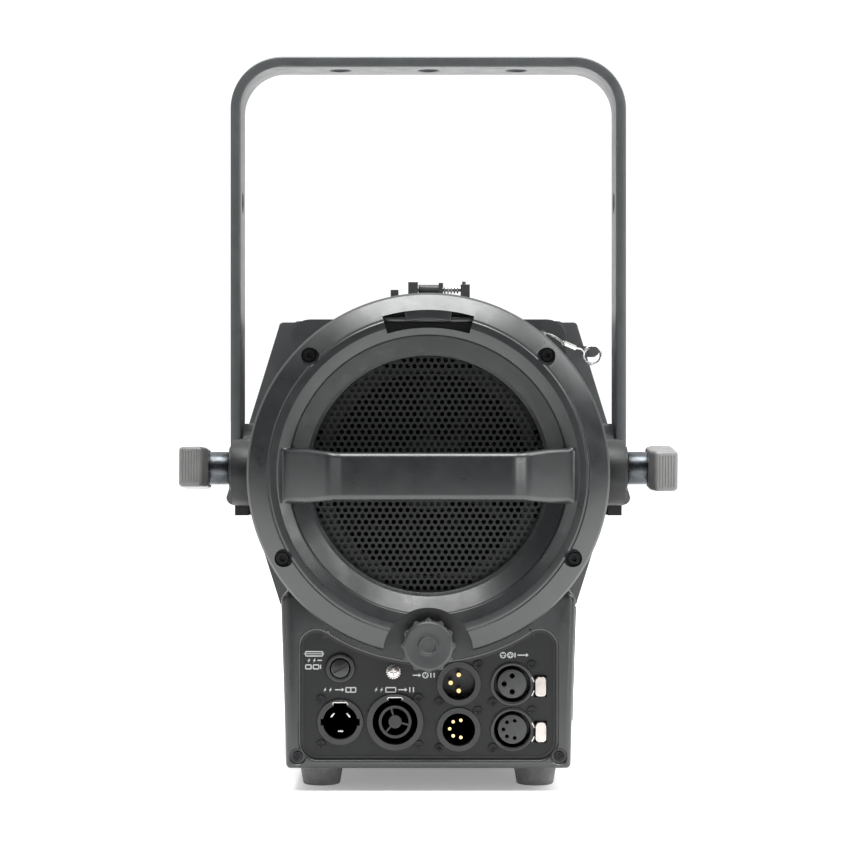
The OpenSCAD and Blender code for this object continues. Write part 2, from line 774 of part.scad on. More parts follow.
// Tapered leaf that folds inside the wide ones
module narrow_leaf() leaf(concat(
    [[-82, leaf_start], [82, leaf_start]],
    arc_points(8, 76, 4, 0),
    arc_points(-8, 76, 4, 90)
));

module bottom_hinge() translate([0, bottom_layer, -hinge_height]) children();
module top_hinge() translate([0, top_layer, hinge_height]) mirror([0, 0, 1]) children();
module right_hinge() translate([hinge_side, side_layer, 0]) rotate([0, -90, 0]) children();
module left_hinge() mirror([1, 0, 0]) right_hinge() children();

module door_frame() lamp() color(paint) difference() {
    union() {
        slab(frame_back, frame_front) difference() {
            polygon(rounded_points(-89, -92.5, 89, 92.5, 6));
            circle(r = 80);
        }
        slab(frame_back, frame_front) {
            translate([88, post_at[1] - 3.5]) square([post_at[0] - 88, 7]);
            translate(post_at) circle(r = 3.5);
        }
        bottom_hinge() hinge_ears(bottom_layer - frame_back);
        top_hinge() hinge_ears(top_layer - frame_back);
        right_hinge() hinge_ears(side_layer - frame_back);
        left_hinge() hinge_ears(side_layer - frame_back);
        at(post_at[0], post_at[1]) rod_y(1.8, 95, frame_front - 0.5);
        at(post_at[0], post_at[1]) rod_y(3.2, 94, 95.2);
    }
    bottom_hinge() pin_holes(pin_r + 0.01);
    top_hinge() pin_holes(pin_r + 0.01);
    right_hinge() pin_holes(pin_r + 0.01);
    left_hinge() pin_holes(pin_r + 0.01);
}

module hinge_pins() lamp() color(steel) {
    bottom_hinge() pins();
    top_hinge() pins();
    right_hinge() pins();
    left_hinge() pins();
}

module leaf_bottom() lamp() color(paint) bottom_hinge() wide_leaf(bottom_leaf_length);
module leaf_top() lamp() color(paint) top_hinge() wide_leaf(leaf_length);
module leaf_right() lamp() color(paint) right_hinge() narrow_leaf();
module leaf_left() lamp() color(paint) left_hinge() narrow_leaf();

// Sprung clip that keeps the barn-door frame in its channel
module top_latch() lamp() color(dark) on_latch() difference() {
    union() {
        rod_x(3, -6.3, 9.4);
        translate([-6.3, 0, 0]) rotate([90, 0, 90]) linear_extrude(13.7) polygon([
            [-1, -3], [1, 3], [9, 1], [23.4, -8], [25, -10], [25, -26],
            [22.8, -26], [22.8, -11], [9, -2], [5, -3]
        ]);
        block([6.6, -4, -2], [9.4, 0, 4]);
    }
    rod_x(latch_rod_r + 0.1, -20, 20);
}

module latch_spring() lamp() color(steel) on_latch() {
    rod_x(latch_rod_r, -11, 22.5);
    for (x = [10.6:2:18.6]) translate([x, 0, 0]) rotate([0, 90, 0]) rotate_extrude()
        translate([2.3, 0]) circle(r = 0.5, $fn = 16);
}

// ---------- Safety lanyard ----------

function unit(v) = v / norm(v);
function ring_points(p, dir, r) =
    let (side = unit(cross(dir, [0, 0, 1])), up = cross(side, dir))
    [for (k = [0:7]) p + r * (cos(45 * k) * side + sin(45 * k) * up)];
function route_dir(route, i) = unit(route[min(i + 1, len(route) - 1)] - route[max(i - 1, 0)]);

module tube(route, r) {
    last = len(route) - 1;
    points = [for (i = [0:last]) each ring_points(route[i], route_dir(route, i), r)];
    sides = [for (i = [0:last - 1], k = [0:7])
        let (a = 8 * i + k, b = 8 * i + (k + 1) % 8) [a, b, b + 8, a + 8]];
    start = [[for (k = [7:-1:0]) k]];
    finish = [[for (k = [0:7]) 8 * last + k]];
    polyhedron(points = points, faces = concat(sides, start, finish), convexity = 4);
}

module rod_between(a, b, r) {
    run = b - a;
    translate(a) rotate([0, acos(run[2] / norm(run)), atan2(run[1], run[0])]) cylinder(r = r, h = norm(run));
}

module lanyard() lamp() color(steel) tube(lanyard_route, lanyard_r);

module lanyard_fittings() lamp() color(steel) {
    rod_between(lanyard_route[ferrule_span[0]], lanyard_route[ferrule_span[1]], 1.7);
    translate(ring_at) rotate([90, 0, 0]) rotate_extrude() translate([ring_r, 0]) circle(r = 0.9, $fn = 24);
    at(lanyard_route[0][0], lanyard_route[0][2]) rod_y(2.4, 71.8, 73.95);
}

barrel();
front_housing();
lens();
lens_ring();
rear_cover();
grille();
cover_screws();
safety_bar();
base_shell();
rear_bezel();
connector_panel();
feet();
case_screws();
control_panel();
display_window();
button_mode();
button_enter();
button_up();
button_down();
fuse_holder();
fuse_cap();
fuse_link();
power_inlet();
inlet_blades();
power_outlet();
data_inlets();
data_pins();
data_outlets();
push_tab_upper();
push_tab_lower();
connector_screws();
earth_screw();
side_bracket_left();
side_bracket_right();
pivot_studs();
friction_washers();
guide_rods();
lead_screw();
zoom_knob();
fan_frame();
fan_rotor();
heat_sink();
led_module();
condenser();
carriage_bushes();
power_supply();
control_board();
yoke();
lock_knob_left();
lock_knob_right();
door_frame();
hinge_pins();
leaf_bottom();
leaf_top();
leaf_left();
leaf_right();
top_latch();
latch_spring();
lanyard();
lanyard_fittings();
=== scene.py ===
import json
import math

import bmesh
import bpy
from mathutils import Matrix, Vector


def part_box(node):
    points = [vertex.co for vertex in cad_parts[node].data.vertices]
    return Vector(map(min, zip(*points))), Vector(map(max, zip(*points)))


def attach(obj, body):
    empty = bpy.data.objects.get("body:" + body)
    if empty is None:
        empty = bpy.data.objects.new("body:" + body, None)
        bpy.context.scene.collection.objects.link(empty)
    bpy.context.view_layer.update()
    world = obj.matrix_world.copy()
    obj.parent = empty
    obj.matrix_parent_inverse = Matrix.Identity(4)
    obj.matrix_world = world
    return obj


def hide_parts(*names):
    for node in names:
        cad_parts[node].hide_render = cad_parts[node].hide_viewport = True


# Stage wash light. Shapes are drawn in millimetres in lamp coordinates: x to the right seen from
# the rear, y along the beam, z up, from the point where the yoke's pivot line crosses the lamp
# axis. make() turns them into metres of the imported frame.

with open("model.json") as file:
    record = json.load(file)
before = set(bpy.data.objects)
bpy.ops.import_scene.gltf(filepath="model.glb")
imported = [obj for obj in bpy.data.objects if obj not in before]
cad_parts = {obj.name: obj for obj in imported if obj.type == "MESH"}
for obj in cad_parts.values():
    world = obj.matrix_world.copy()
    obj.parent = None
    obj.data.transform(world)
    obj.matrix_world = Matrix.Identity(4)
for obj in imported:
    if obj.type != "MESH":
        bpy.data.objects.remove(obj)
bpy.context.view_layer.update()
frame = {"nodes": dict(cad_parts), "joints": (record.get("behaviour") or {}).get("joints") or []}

MM = 0.001
SHARP_ANGLE = 40
PIVOT = Vector(next(j["pos_m"] for j in frame["joints"] if j["name"] == "yoke_tilt"))


def span(node):
    """Lowest and highest corner of a CAD node in lamp coordinates."""
    low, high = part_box(node)
    return (low - PIVOT) / MM, (high - PIVOT) / MM


def floor_height(height):
    """Lamp z of a height above the floor."""
    return height - PIVOT.z / MM


# ---------- Outlines ----------

def arc(x, y, r, start, end, steps):
    """Points on an arc from start to end, in degrees."""
    angles = [math.radians(start + (end - start) * i / steps) for i in range(steps + 1)]
    return [(x + r * math.cos(a), y + r * math.sin(a)) for a in angles]


def rounded(corners, steps=5, closed=True):
    """A polyline from (x, y) or (x, y, radius) corners, the latter drawn as arcs."""
    points = []
    count = len(corners)
    for i, corner in enumerate(corners):
        here = Vector(corner[:2])
        at_end = not closed and i in (0, count - 1)
        if len(corner) < 3 or at_end:
            points.append(tuple(here))
            continue
        before = Vector(corners[i - 1][:2]) - here
        after = Vector(corners[(i + 1) % count][:2]) - here
        half = before.angle(after) / 2
        reach = min(corner[2] / math.tan(half), before.length * 0.49, after.length * 0.49)
        start = here + before.normalized() * reach
        end = here + after.normalized() * reach
        for k in range(steps + 1):
            t = k / steps
            # A conic through both tangent points, close to a circle for these angles
            weight = math.sin(half)
            a, b, c = (1 - t) ** 2, 2 * t * (1 - t) * weight, t ** 2
            points.append(tuple((start * a + here * b + end * c) / (a + b + c)))
    return points


def rectangle(x0, y0, x1, y1, r=0.0, steps=6):
    """A rounded rectangle, anticlockwise."""
    if r <= 0:
        return [(x0, y0), (x1, y0), (x1, y1), (x0, y1)]
    return (
        arc(x1 - r, y0 + r, r, -90, 0, steps) + arc(x1 - r, y1 - r, r, 0, 90, steps)
        + arc(x0 + r, y1 - r, r, 90, 180, steps) + arc(x0 + r, y0 + r, r, 180, 270, steps)
    )


def inset(outline, depth):
    """An anticlockwise outline moved inwards by depth, along the bisectors of its corners."""
    shrunk = []
    count = len(outline)
    for i in range(count):
        here = Vector(outline[i])
        before = (here - Vector(outline[i - 1])).normalized()
        after = (Vector(outline[(i + 1) % count]) - here).normalized()
        normal = Vector((-before.y - after.y, before.x + after.x))
        if normal.length < 1e-6:
            shrunk.append(tuple(here))
            continue
        normal.normalize()
        # Sharp corners don't run off: their bisector is shortened
        lean = max(0.4, normal.dot(Vector((-after.y, after.x))))
        shrunk.append(tuple(here + normal * depth / lean))
    return shrunk


# ---------- Solids, as (vertices, faces) ----------

def loft(rings, closed=False):
    """Skin between rings of equal length, with capped ends or, where closed, its ends joined."""
    size = len(rings[0])
    verts = [point for ring in rings for point in ring]
    faces = []
    for i in range(len(rings) if closed else len(rings) - 1):
        a = i * size
        b = ((i + 1) % len(rings)) * size
        faces += [(a + k, a + (k + 1) % size, b + (k + 1) % size, b + k) for k in range(size)]
    if not closed:
        faces.append(tuple(reversed(range(size))))
        faces.append(tuple(range(len(verts) - size, len(verts))))
    return verts, faces


def lathe(profile, steps=96, x=0.0, z=0.0):
    """A closed profile of (radius, y) points turned about a line along y through (x, z)."""
    rings = []
    for i in range(steps):
        a = 2 * math.pi * i / steps
        rings.append([(x + r * math.cos(a), y, z + r * math.sin(a)) for r, y in profile])
    return loft(rings, closed=True)


def rod(r, back, front, x=0.0, z=0.0, steps=48, edge=0.0):
    """A round bar along y, with bevelled ends."""
    if edge <= 0:
        profile = [(0, back), (r, back), (r, front), (0, front)]
    else:
        mid = edge * 0.3
        profile = [(0, back), (r - edge, back), (r - mid, back + mid), (r, back + edge),
                   (r, front - edge), (r - mid, front - mid), (r - edge, front), (0, front)]
    return lathe(profile, steps, x, z)


def slab(outline, back, front, edge_back=0.0, edge_front=0.0, steps=4):
    """An (x, z) outline between two planes across y, with rounded rims."""
    def rim(edge, y, inward):
        if edge <= 0:
            return [[(px, y, pz) for px, pz in outline]]
        made = []
        for k in range(steps + 1):
            a = math.pi / 2 * k / steps
            drawn = inset(outline, edge * (1 - math.sin(a)))
            made.append([(px, y + inward * edge * (1 - math.cos(a)), pz) for px, pz in drawn])
        return made
    return loft(rim(edge_back, back, 1) + rim(edge_front, front, -1)[::-1])


def ribbon(line, width, back, front):
    """A strip of this width along an (x, z) line, between two planes across y."""
    left, right = [], []
    for i, point in enumerate(line):
        before = Vector(line[max(i - 1, 0)])
        after = Vector(line[min(i + 1, len(line) - 1)])
        run = (after - before).normalized()
        side = Vector((-run.y, run.x)) * width / 2
        left.append(tuple(Vector(point) + side))
        right.append(tuple(Vector(point) - side))
    return slab(right + left[::-1], back, front)


def turned(solid, matrix):
    verts, faces = solid
    return [tuple(matrix @ Vector(v)) for v in verts], faces


def moved(solid, x=0.0, y=0.0, z=0.0):
    return turned(solid, Matrix.Translation((x, y, z)))


def spun(solid, degrees, axis):
    return turned(solid, Matrix.Rotation(math.radians(degrees), 4, axis))


def mirrored(solid, x=-1, z=1):
    """The solid with x or z turned round."""
    verts, faces = solid
    flipped = [tuple(reversed(face)) for face in faces]
    return [(x * vx, vy, z * vz) for vx, vy, vz in verts], flipped


def together(solids):
    """Several solids as one list of vertices and faces."""
    verts, faces = [], []
    for more_verts, more_faces in solids:
        start = len(verts)
        verts += more_verts
        faces += [tuple(i + start for i in face) for face in more_faces]
    return verts, faces


# ---------- Objects ----------

def make(name, solid):
    """A mesh object in the frame, in metres, from a solid in lamp coordinates."""
    verts, faces = solid
    mesh = bpy.data.meshes.new(name)
    mesh.from_pydata([PIVOT + Vector(v) * MM for v in verts], [], faces)
    work = bmesh.new()
    work.from_mesh(mesh)
    bmesh.ops.remove_doubles(work, verts=work.verts, dist=1e-6)
    bmesh.ops.dissolve_degenerate(work, edges=work.edges, dist=1e-7)
    bmesh.ops.recalc_face_normals(work, faces=work.faces)
    work.to_mesh(mesh)
    work.free()
    shade(mesh)
    obj = bpy.data.objects.new(name, mesh)
    bpy.context.scene.collection.objects.link(obj)
    return obj


def shade(mesh):
    """Smooth shading with sharp edges where faces meet at more than the sharp angle."""
    mesh.polygons.foreach_set("use_smooth", [True] * len(mesh.polygons))
    mesh.set_sharp_from_angle(angle=math.radians(SHARP_ANGLE))


def bake(obj):
    """Applies the object's modifiers to its mesh."""
    bpy.context.view_layer.update()
    finished = obj.evaluated_get(bpy.context.evaluated_depsgraph_get())
    mesh = bpy.data.meshes.new_from_object(finished)
    obj.modifiers.clear()
    obj.data = mesh
    shade(mesh)


def carve(obj, cut=(), add=()):
    """Joins the add solids to obj and takes the cut solids out of it."""
    tools = []
    for operation, solids in (("UNION", add), ("DIFFERENCE", cut)):
        for solid in solids:
            tool = make("tool", solid)
            boolean = obj.modifiers.new(operation, "BOOLEAN")
            boolean.operation = operation
            boolean.solver = "MANIFOLD"
            boolean.object = tool
            tools.append(tool)
    bake(obj)
    for tool in tools:
        bpy.data.objects.remove(tool)


def soften(obj, width):
    """Rounds the sharp edges of a CAD node, over its mesh."""
    weld = obj.modifiers.new("weld", "WELD")
    weld.merge_threshold = 1e-6
    flat = obj.modifiers.new("flat", "DECIMATE")
    flat.decimate_type = "DISSOLVE"
    flat.angle_limit = math.radians(0.6)
    bevel = obj.modifiers.new("bevel", "BEVEL")
    bevel.width = width * MM
    bevel.segments = 2
    bevel.limit_method = "ANGLE"
    bevel.angle_limit = math.radians(30)
    bevel.harden_normals = True


def dress(obj, material, body, slot, *nodes):
    """Gives a piece its material and body, and hides the CAD nodes that it stands for; the slot is
    not used.
    """
    obj.data.materials.clear()
    obj.data.materials.append(material)
    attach(obj, body)
    if nodes:
        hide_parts(*nodes)


# ---------- Materials ----------

class Finish:
    """A node material on a Principled shader, with object coordinates for its patterns."""

    def __init__(self, name):
        self.material = bpy.data.materials.new(name)
        self.material.use_nodes = True
        self.tree = self.material.node_tree
        self.shader = self.tree.nodes["Principled BSDF"]
        self.places = self.node("ShaderNodeTexCoord").outputs["Object"]

    def node(self, kind, inputs=None, **settings):
        made = self.tree.nodes.new(kind)
        for key, value in settings.items():
            setattr(made, key, value)
        for key, value in (inputs or {}).items():
            self.join(value, made.inputs[key])
        return made

    def join(self, value, socket):
        if isinstance(value, bpy.types.NodeSocket):
            self.tree.links.new(value, socket)
        else:
            socket.default_value = value

    def noise(self, scale, detail=2.0, roughness=0.5, places=None):
        made = self.node("ShaderNodeTexNoise", {"Vector": places or self.places, "Scale": scale,
                                               "Detail": detail, "Roughness": roughness})
        return made.outputs["Fac"]

    def stretched(self, x, y, z):
        made = self.node("ShaderNodeMapping", {"Vector": self.places, "Scale": (x, y, z)})
        return made.outputs["Vector"]

    def ramp(self, value, low, high, to_low=0.0, to_high=1.0):
        made = self.node("ShaderNodeMapRange", {"Value": value, "From Min": low, "From Max": high,
                                                "To Min": to_low, "To Max": to_high})
        return made.outputs["Result"]

    def math(self, operation, first, second):
        made = self.node("ShaderNodeMath", operation=operation)
        self.join(first, made.inputs[0])
        self.join(second, made.inputs[1])
        return made.outputs[0]

    def mix(self, factor, first, second):
        made = self.node("ShaderNodeMix", data_type="RGBA")
        self.join(factor, made.inputs["Factor"])
        self.join(first, made.inputs["A"])
        self.join(second, made.inputs["B"])
        return made.outputs["Result"]

    def edges(self, radius):
        """About 1 on sharp outer edges and inner corners, 0 on flat faces."""
        bevel = self.node("ShaderNodeBevel", {"Radius": radius * MM}, samples=4)
        true = self.node("ShaderNodeNewGeometry").outputs["Normal"]
        dot = self.node("ShaderNodeVectorMath", operation="DOT_PRODUCT")
        self.join(bevel.outputs["Normal"], dot.inputs[0])
        self.join(true, dot.inputs[1])
        return self.ramp(dot.outputs["Value"], 0.97, 0.75)

    def bump(self, height, distance):
        made = self.node("ShaderNodeBump", {"Height": height, "Distance": distance * MM,
                                            "Strength": 1.0})
        self.join(made.outputs["Normal"], self.shader.inputs["Normal"])

    def set(self, **values):
        """Sets the shader's inputs by name, with _ for a space."""
        for key, value in values.items():
            self.join(value, self.shader.inputs[key.replace("_", " ")])


def shades(colour, factor):
    """The colour made lighter or darker, with its alpha."""
    return tuple(min(1.0, c * factor) for c in colour) + (1.0,)


def coated(name, colour, rough=0.31, grain=950, depth=0.02, sheen=0.75):
    """Powder coat: fine orange peel, cloudy tone and roughness, pale specks."""
    made = Finish(name)
    cloud = made.noise(34, 3)
    speck = made.noise(2600, 1)
    tone = made.mix(made.ramp(cloud, 0.3, 0.7), shades(colour, 0.86), shades(colour, 1.14))
    tone = made.mix(made.ramp(speck, 0.62, 0.8, 0, 0.25), tone, shades(colour, 1.8))
    patch = made.ramp(made.noise(90, 4, 0.6), 0.3, 0.7, rough - 0.05, rough + 0.06)
    made.set(Base_Color=tone, Roughness=patch, Specular_IOR_Level=sheen)
    fine = made.math("MULTIPLY", made.noise(grain * 3.1, 1), 0.35)
    made.bump(made.math("ADD", made.noise(grain, 2), fine), depth)
    return made.material


def moulded(name, colour, rough=0.38, grain=1500, depth=0.012, wear=0.3):
    """Injection-moulded plastic with a fine spark-eroded grain."""
    made = Finish(name)
    cloud = made.noise(55, 3)
    tone = made.mix(made.ramp(cloud, 0.3, 0.7), shades(colour, 0.85), shades(colour, 1.15))
    rubbed = made.math("MULTIPLY", made.edges(0.4), wear)
    tone = made.mix(rubbed, tone, shades(colour, 3.0))
    patch = made.ramp(made.noise(140, 4, 0.6), 0.3, 0.7, rough - 0.06, rough + 0.07)
    made.set(Base_Color=tone, Roughness=patch)
    made.bump(made.noise(grain, 3, 0.6), depth)
    return made.material


def metal(name, colour, rough=0.28, scratch=(40, 900, 900), depth=0.006, tarnish=0.25):
    """Bare or plated metal with fine directional scratches and dull patches."""
    made = Finish(name)
    lines = made.noise(1.0, 4, 0.7, made.stretched(*scratch))
    dull = made.ramp(made.noise(210, 5, 0.6), 0.45, 0.72, 0, tarnish)
    tone = made.mix(dull, shades(colour, 1.0), shades(colour, 0.45))
    worn = made.math("ADD", made.ramp(lines, 0.3, 0.7, rough - 0.07, rough + 0.09),
                     made.math("MULTIPLY", dull, 0.5))
    made.set(Metallic=1.0, Base_Color=tone, Roughness=worn)
    made.bump(lines, depth)
    return made.material


def clear(name, colour, rough=0.03, ior=1.5):
    """Glass or clear plastic with a faint smear."""
    made = Finish(name)
    smear = made.ramp(made.noise(45, 4, 0.6), 0.35, 0.7, rough, rough + 0.05)
    made.set(Base_Color=shades(colour, 1.0), Roughness=smear, IOR=ior, Transmission_Weight=1.0)
    made.bump(made.noise(120, 1), 0.004)
    return made.material


def rubbery(name, colour):
    """Matt rubber, dusty in patches."""
    made = Finish(name)
    dusty = made.ramp(made.noise(130, 5, 0.65), 0.45, 0.75, 0, 0.35)
    tone = made.mix(dusty, shades(colour, 1.0), shades(colour, 2.6))
    made.set(Base_Color=tone, Roughness=made.ramp(made.noise(300, 3), 0.3, 0.7, 0.68, 0.82))
    made.bump(made.noise(1100, 4, 0.6), 0.03)
    return made.material


COAT = coated("slate_powder_coat", (0.0098, 0.0114, 0.0120), sheen=0.7)
PANEL_COAT = coated("panel_powder_coat", (0.0052, 0.0057, 0.0061), rough=0.46, sheen=0.36)
YOKE_COAT = coated("yoke_powder_coat", (0.044, 0.048, 0.050), rough=0.36)
# Lighter copy of the slate coat for the front housing, door frame, leaves and latch: painted light
# that lifts these parts, which face away from the lamps, out of their shade
LIGHTENED_DOOR_COAT = coated("door_coat_painted_light", (0.037, 0.040, 0.042), rough=0.42)
GRILLE_COAT = coated("grille_coat", (0.0030, 0.0038, 0.0040), rough=0.5, grain=1500, depth=0.01,
                     sheen=0.4)
BLACK_PLASTIC = moulded("black_plastic", (0.013, 0.0135, 0.0145), rough=0.32)
KNOB_PLASTIC = moulded("knob_plastic", (0.145, 0.144, 0.142), rough=0.34)
# The feet's rubber is far lighter than the base's coat: painted light that lifts the feet out of
# the shadow under the base
LIGHTENED_RUBBER = rubbery("foot_rubber_painted_light", (0.115, 0.118, 0.115))
BLACK_STEEL = metal("black_oxide_steel", (0.030, 0.030, 0.032), rough=0.36, tarnish=0.5)
STEEL = metal("zinc_steel", (0.62, 0.62, 0.61), rough=0.27)
NICKEL = metal("bright_nickel", (0.60, 0.57, 0.55), rough=0.26, tarnish=0.2)
TAB_PLATING = metal("satin_plating", (0.54, 0.50, 0.475), rough=0.34, scratch=(300, 300, 300),
                    tarnish=0.35)
STEM_METAL = metal("dark_stem_metal", (0.078, 0.085, 0.092), rough=0.26)
SOCKET_FACE = moulded("socket_face_plastic", (0.030, 0.031, 0.032), rough=0.5)
ZOOM_PLASTIC = moulded("soft_knob_plastic", (0.030, 0.031, 0.032), rough=0.42)
NYLON = moulded("dark_nylon", (0.010, 0.010, 0.011), rough=0.5)
GOLD = metal("gold_contacts", (0.92, 0.66, 0.30), rough=0.2, tarnish=0.15)
ALLOY = metal("raw_alloy", (0.56, 0.57, 0.58), rough=0.38, tarnish=0.3)
ANODISED = metal("black_anodised", (0.030, 0.030, 0.032), rough=0.42, tarnish=0.3)
LENS = clear("lens_glass", (0.97, 0.985, 0.985))
CONDENSER = clear("condenser_acrylic", (0.96, 0.97, 0.98), rough=0.04, ior=1.49)
WHITE_INK = moulded("white_ink", (0.44, 0.45, 0.45), rough=0.5, grain=2500, depth=0.004,
                    wear=0.0)
WINDOW = moulded("tinted_window", (0.006, 0.010, 0.020), rough=0.10, depth=0.002)
BUTTON = moulded("grey_button", (0.16, 0.16, 0.165), rough=0.4)
BOARD = moulded("green_laminate", (0.02, 0.12, 0.05), rough=0.3, grain=3000)
LED = moulded("led_board", (0.72, 0.66, 0.34), rough=0.35)

NODE_FINISH = {
    COAT: ["barrel", "rear_cover", "base_shell", "rear_bezel", "safety_bar"],
    PANEL_COAT: ["connector_panel", "side_bracket_left", "side_bracket_right"],
    YOKE_COAT: ["yoke"],
    LIGHTENED_DOOR_COAT: ["front_housing", "door_frame", "leaf_bottom", "leaf_top", "leaf_left",
                "leaf_right", "top_latch"],
    GRILLE_COAT: ["grille", "lens_ring"],
    BLACK_PLASTIC: ["control_panel", "fuse_holder", "fuse_cap", "power_inlet", "power_outlet",
                    "data_inlets", "data_outlets", "fan_frame", "fan_rotor", "zoom_knob"],
    KNOB_PLASTIC: ["lock_knob_left", "lock_knob_right"],
    LIGHTENED_RUBBER: ["feet"],
    BLACK_STEEL: ["cover_screws", "case_screws", "connector_screws", "hinge_pins"],
    STEEL: ["pivot_studs", "guide_rods", "lead_screw", "latch_spring", "lanyard",
            "lanyard_fittings"],
    NICKEL: ["earth_screw", "inlet_blades"],
    TAB_PLATING: ["push_tab_upper", "push_tab_lower"],
    NYLON: ["friction_washers"],
    GOLD: ["data_pins", "carriage_bushes"],
    ALLOY: ["power_supply"],
    ANODISED: ["heat_sink"],
    LED: ["led_module"],
    BOARD: ["control_board"],
    LENS: ["lens", "fuse_link"],
    CONDENSER: ["condenser"],
    WINDOW: ["display_window"],
    BUTTON: ["button_mode", "button_enter", "button_up", "button_down"],
}
for finish, names in NODE_FINISH.items():
    for node_name in names:
        node = frame["nodes"][node_name]
        if not node.material_slots:
            node.data.materials.append(None)
        for place in node.material_slots:
            place.link = "OBJECT"
            place.material = finish

# ---------- Camera ----------

# Level, straight behind the light and a little above its pivot line
CAMERA_DISTANCE = 1.600
CAMERA_RISE = 0.035

camera_data = bpy.data.cameras.new("camera")
camera_data.lens = 112.2
camera_data.sensor_width = 36.0
camera_data.shift_x = -0.0039
camera_data.shift_y = -0.0173
camera_data.clip_end = 50.0
camera = bpy.data.objects.new("camera", camera_data)
camera.location = PIVOT + Vector((0.0, -CAMERA_DISTANCE, CAMERA_RISE))
camera.rotation_euler = (math.radians(90), 0.0, 0.0)
bpy.context.scene.collection.objects.link(camera)
bpy.context.scene.camera = camera
bpy.context.scene.view_settings.view_transform = "Standard"

# ---------- Safety lanyard ----------

LANYARD_R = 0.75
STRANDS = 3
STRAND_R = 0.37
LAY_LENGTH = 5.0
# Route of the wire in lamp millimetres, from its anchor to the ring, as in the CAD model
LANYARD_ROUTE = [
    (72, 73.9, 83), (72, 71.5, 83), (72.5, 69, 83.2), (74, 67.2, 83.2), (76.4, 66.4, 82.6),
    (79.2, 66.4, 81.4), (82.2, 67, 79.4), (85.2, 68.4, 77.4), (88, 70.4, 76.2), (90.6, 73, 75.2),
    (92.6, 76, 74.5), (94.2, 79.2, 74.2), (95.6, 82.5, 74.1), (96.8, 85.8, 73.9), (97.8, 89, 73.5),
    (98.6, 92, 72.8), (99.2, 94.8, 71.8), (99.4, 96.9, 70.4),
]


def smooth_line(points, steps):
    """Catmull-Rom curve through the points."""
    line = []
    for i in range(len(points) - 1):
        a = Vector(points[max(i - 1, 0)])
        b, c = Vector(points[i]), Vector(points[i + 1])
        d = Vector(points[min(i + 2, len(points) - 1)])
        for k in range(steps):
            t = k / steps
            line.append(0.5 * (2 * b + (c - a) * t + (2 * a - 5 * b + 4 * c - d) * t ** 2
                               + (3 * b - a - 3 * c + d) * t ** 3))
    line.append(Vector(points[-1]))
    return line


def lanyard():
    """Three strands laid round each other along the route."""
    line = smooth_line(LANYARD_ROUTE, 8)
    offset = LANYARD_R - STRAND_R
    frames = []
    side = Vector((0, 0, 1))
    travelled = 0.0
    for i, point in enumerate(line):
        run = (line[min(i + 1, len(line) - 1)] - line[max(i - 1, 0)]).normalized()
        side = (side - run * side.dot(run)).normalized()
        frames.append((point, side, run.cross(side), travelled))
        if i + 1 < len(line):
            travelled += (line[i + 1] - point).length
    strands = []
    for strand in range(STRANDS):
        rings = []
        for point, across, up, along_line in frames:
            angle = 2 * math.pi * (strand / STRANDS + along_line / LAY_LENGTH)
            centre = point + (across * math.cos(angle) + up * math.sin(angle)) * offset
            ring = []
            for k in range(8):
                a = 2 * math.pi * k / 8
                ring.append(tuple(centre + (across * math.cos(a) + up * math.sin(a)) * STRAND_R))
            rings.append(ring)
        strands.append(loft(rings))
    wire = make("lanyard_wire", together(strands))
    dress(wire, STEEL, "housing", "bright_metal", "lanyard")


lanyard()

# ---------- Rear cover ----------

COVER_LOW, COVER_HIGH = span("rear_cover")
COVER_R = COVER_HIGH.x
COVER_FRONT = COVER_HIGH.y
HANDLE_BACK = COVER_LOW.y
CREST_BACK = -163.0
DISH_FLOOR = -149.0
GRILLE_R = 64.4
POCKET_Z = -97.0
POCKET_R = 24.5
COVER_SCREW_R = 92.0
COVER_SCREW_ANGLES = (45, 135, -30, -150)
NOTCH_R = (79.8, 89.6)
NOTCH_TURN = 16.2
BRIDGE_R = (84, 90.2)
BRIDGE_TURN = 8.4


def cover_ring():
    """Conical rim, a groove, a flat crest and a dish down to the grille."""
    return lathe(rounded([
        (COVER_R, COVER_FRONT, 0.4), (COVER_R, -154.2, 0.5), (COVER_R - 1.2, -155.9, 0.5),
        (87.7, -162.7, 0.5), (87.2, -162.3, 0.2), (86.8, -162.4, 0.2), (86.1, CREST_BACK, 0.8),
        (82.5, CREST_BACK, 1.5), (76.2, -160.6, 1.5), (75.4, -159.4, 0.5), (66.8, -151.7, 1.4),
        (GRILLE_R + 0.5, -150.6, 0.5), (GRILLE_R, DISH_FLOOR, 0.3), (GRILLE_R, COVER_FRONT),
        (75, COVER_FRONT),
    ], 4), 256)


def along(line, x):
    """Height of an open (x, y) polyline at x."""
    for (x0, y0), (x1, y1) in zip(line, line[1:]):
        if x0 <= x <= x1 and x1 > x0:
            return y0 + (y1 - y0) * (x - x0) / (x1 - x0)
    return line[-1][1]


def both_ways(right):
    """An open line across the lamp, from the corners of its right half, middle first."""
    left = [(-corner[0], *corner[1:]) for corner in right]
    return rounded(left[::-1] + right, 6, closed=False)


def cover_handle():
    """Cast bar across the cover: rounded sections along x, arched away from the grille."""
    outer = both_ways([(46, HANDLE_BACK, 12), (54, -183.5, 12), (78, -162.6, 6), (85, -160.8)])
    inner = both_ways([(45, -174, 8), (52, -171.5, 8), (68, -160, 5), (73, -156, 3), (85, -154)])
    top = both_ways([(50, 12.5, 16), (66, 14.4, 12), (76, 14.7, 4), (79.5, 16.2, 2), (85, 16.8)])
    bottom = [(x, -z - 0.8) for x, z in top]
    rings = []
    for x in sorted({round(p[0], 1) for p in outer + inner + top} | set(range(-44, 45, 8))):
        back, front = along(outer, x), along(inner, x)
        high, low = along(top, x), along(bottom, x)
        soft = min(3.4, (front - back) * 0.45)
        section = rounded([(back, low, soft), (front, low, soft * 0.6),
                           (front, high, soft * 0.6), (back, high, soft)], 5)
        rings.append([(x, y, z) for y, z in section])
    return loft(rings)


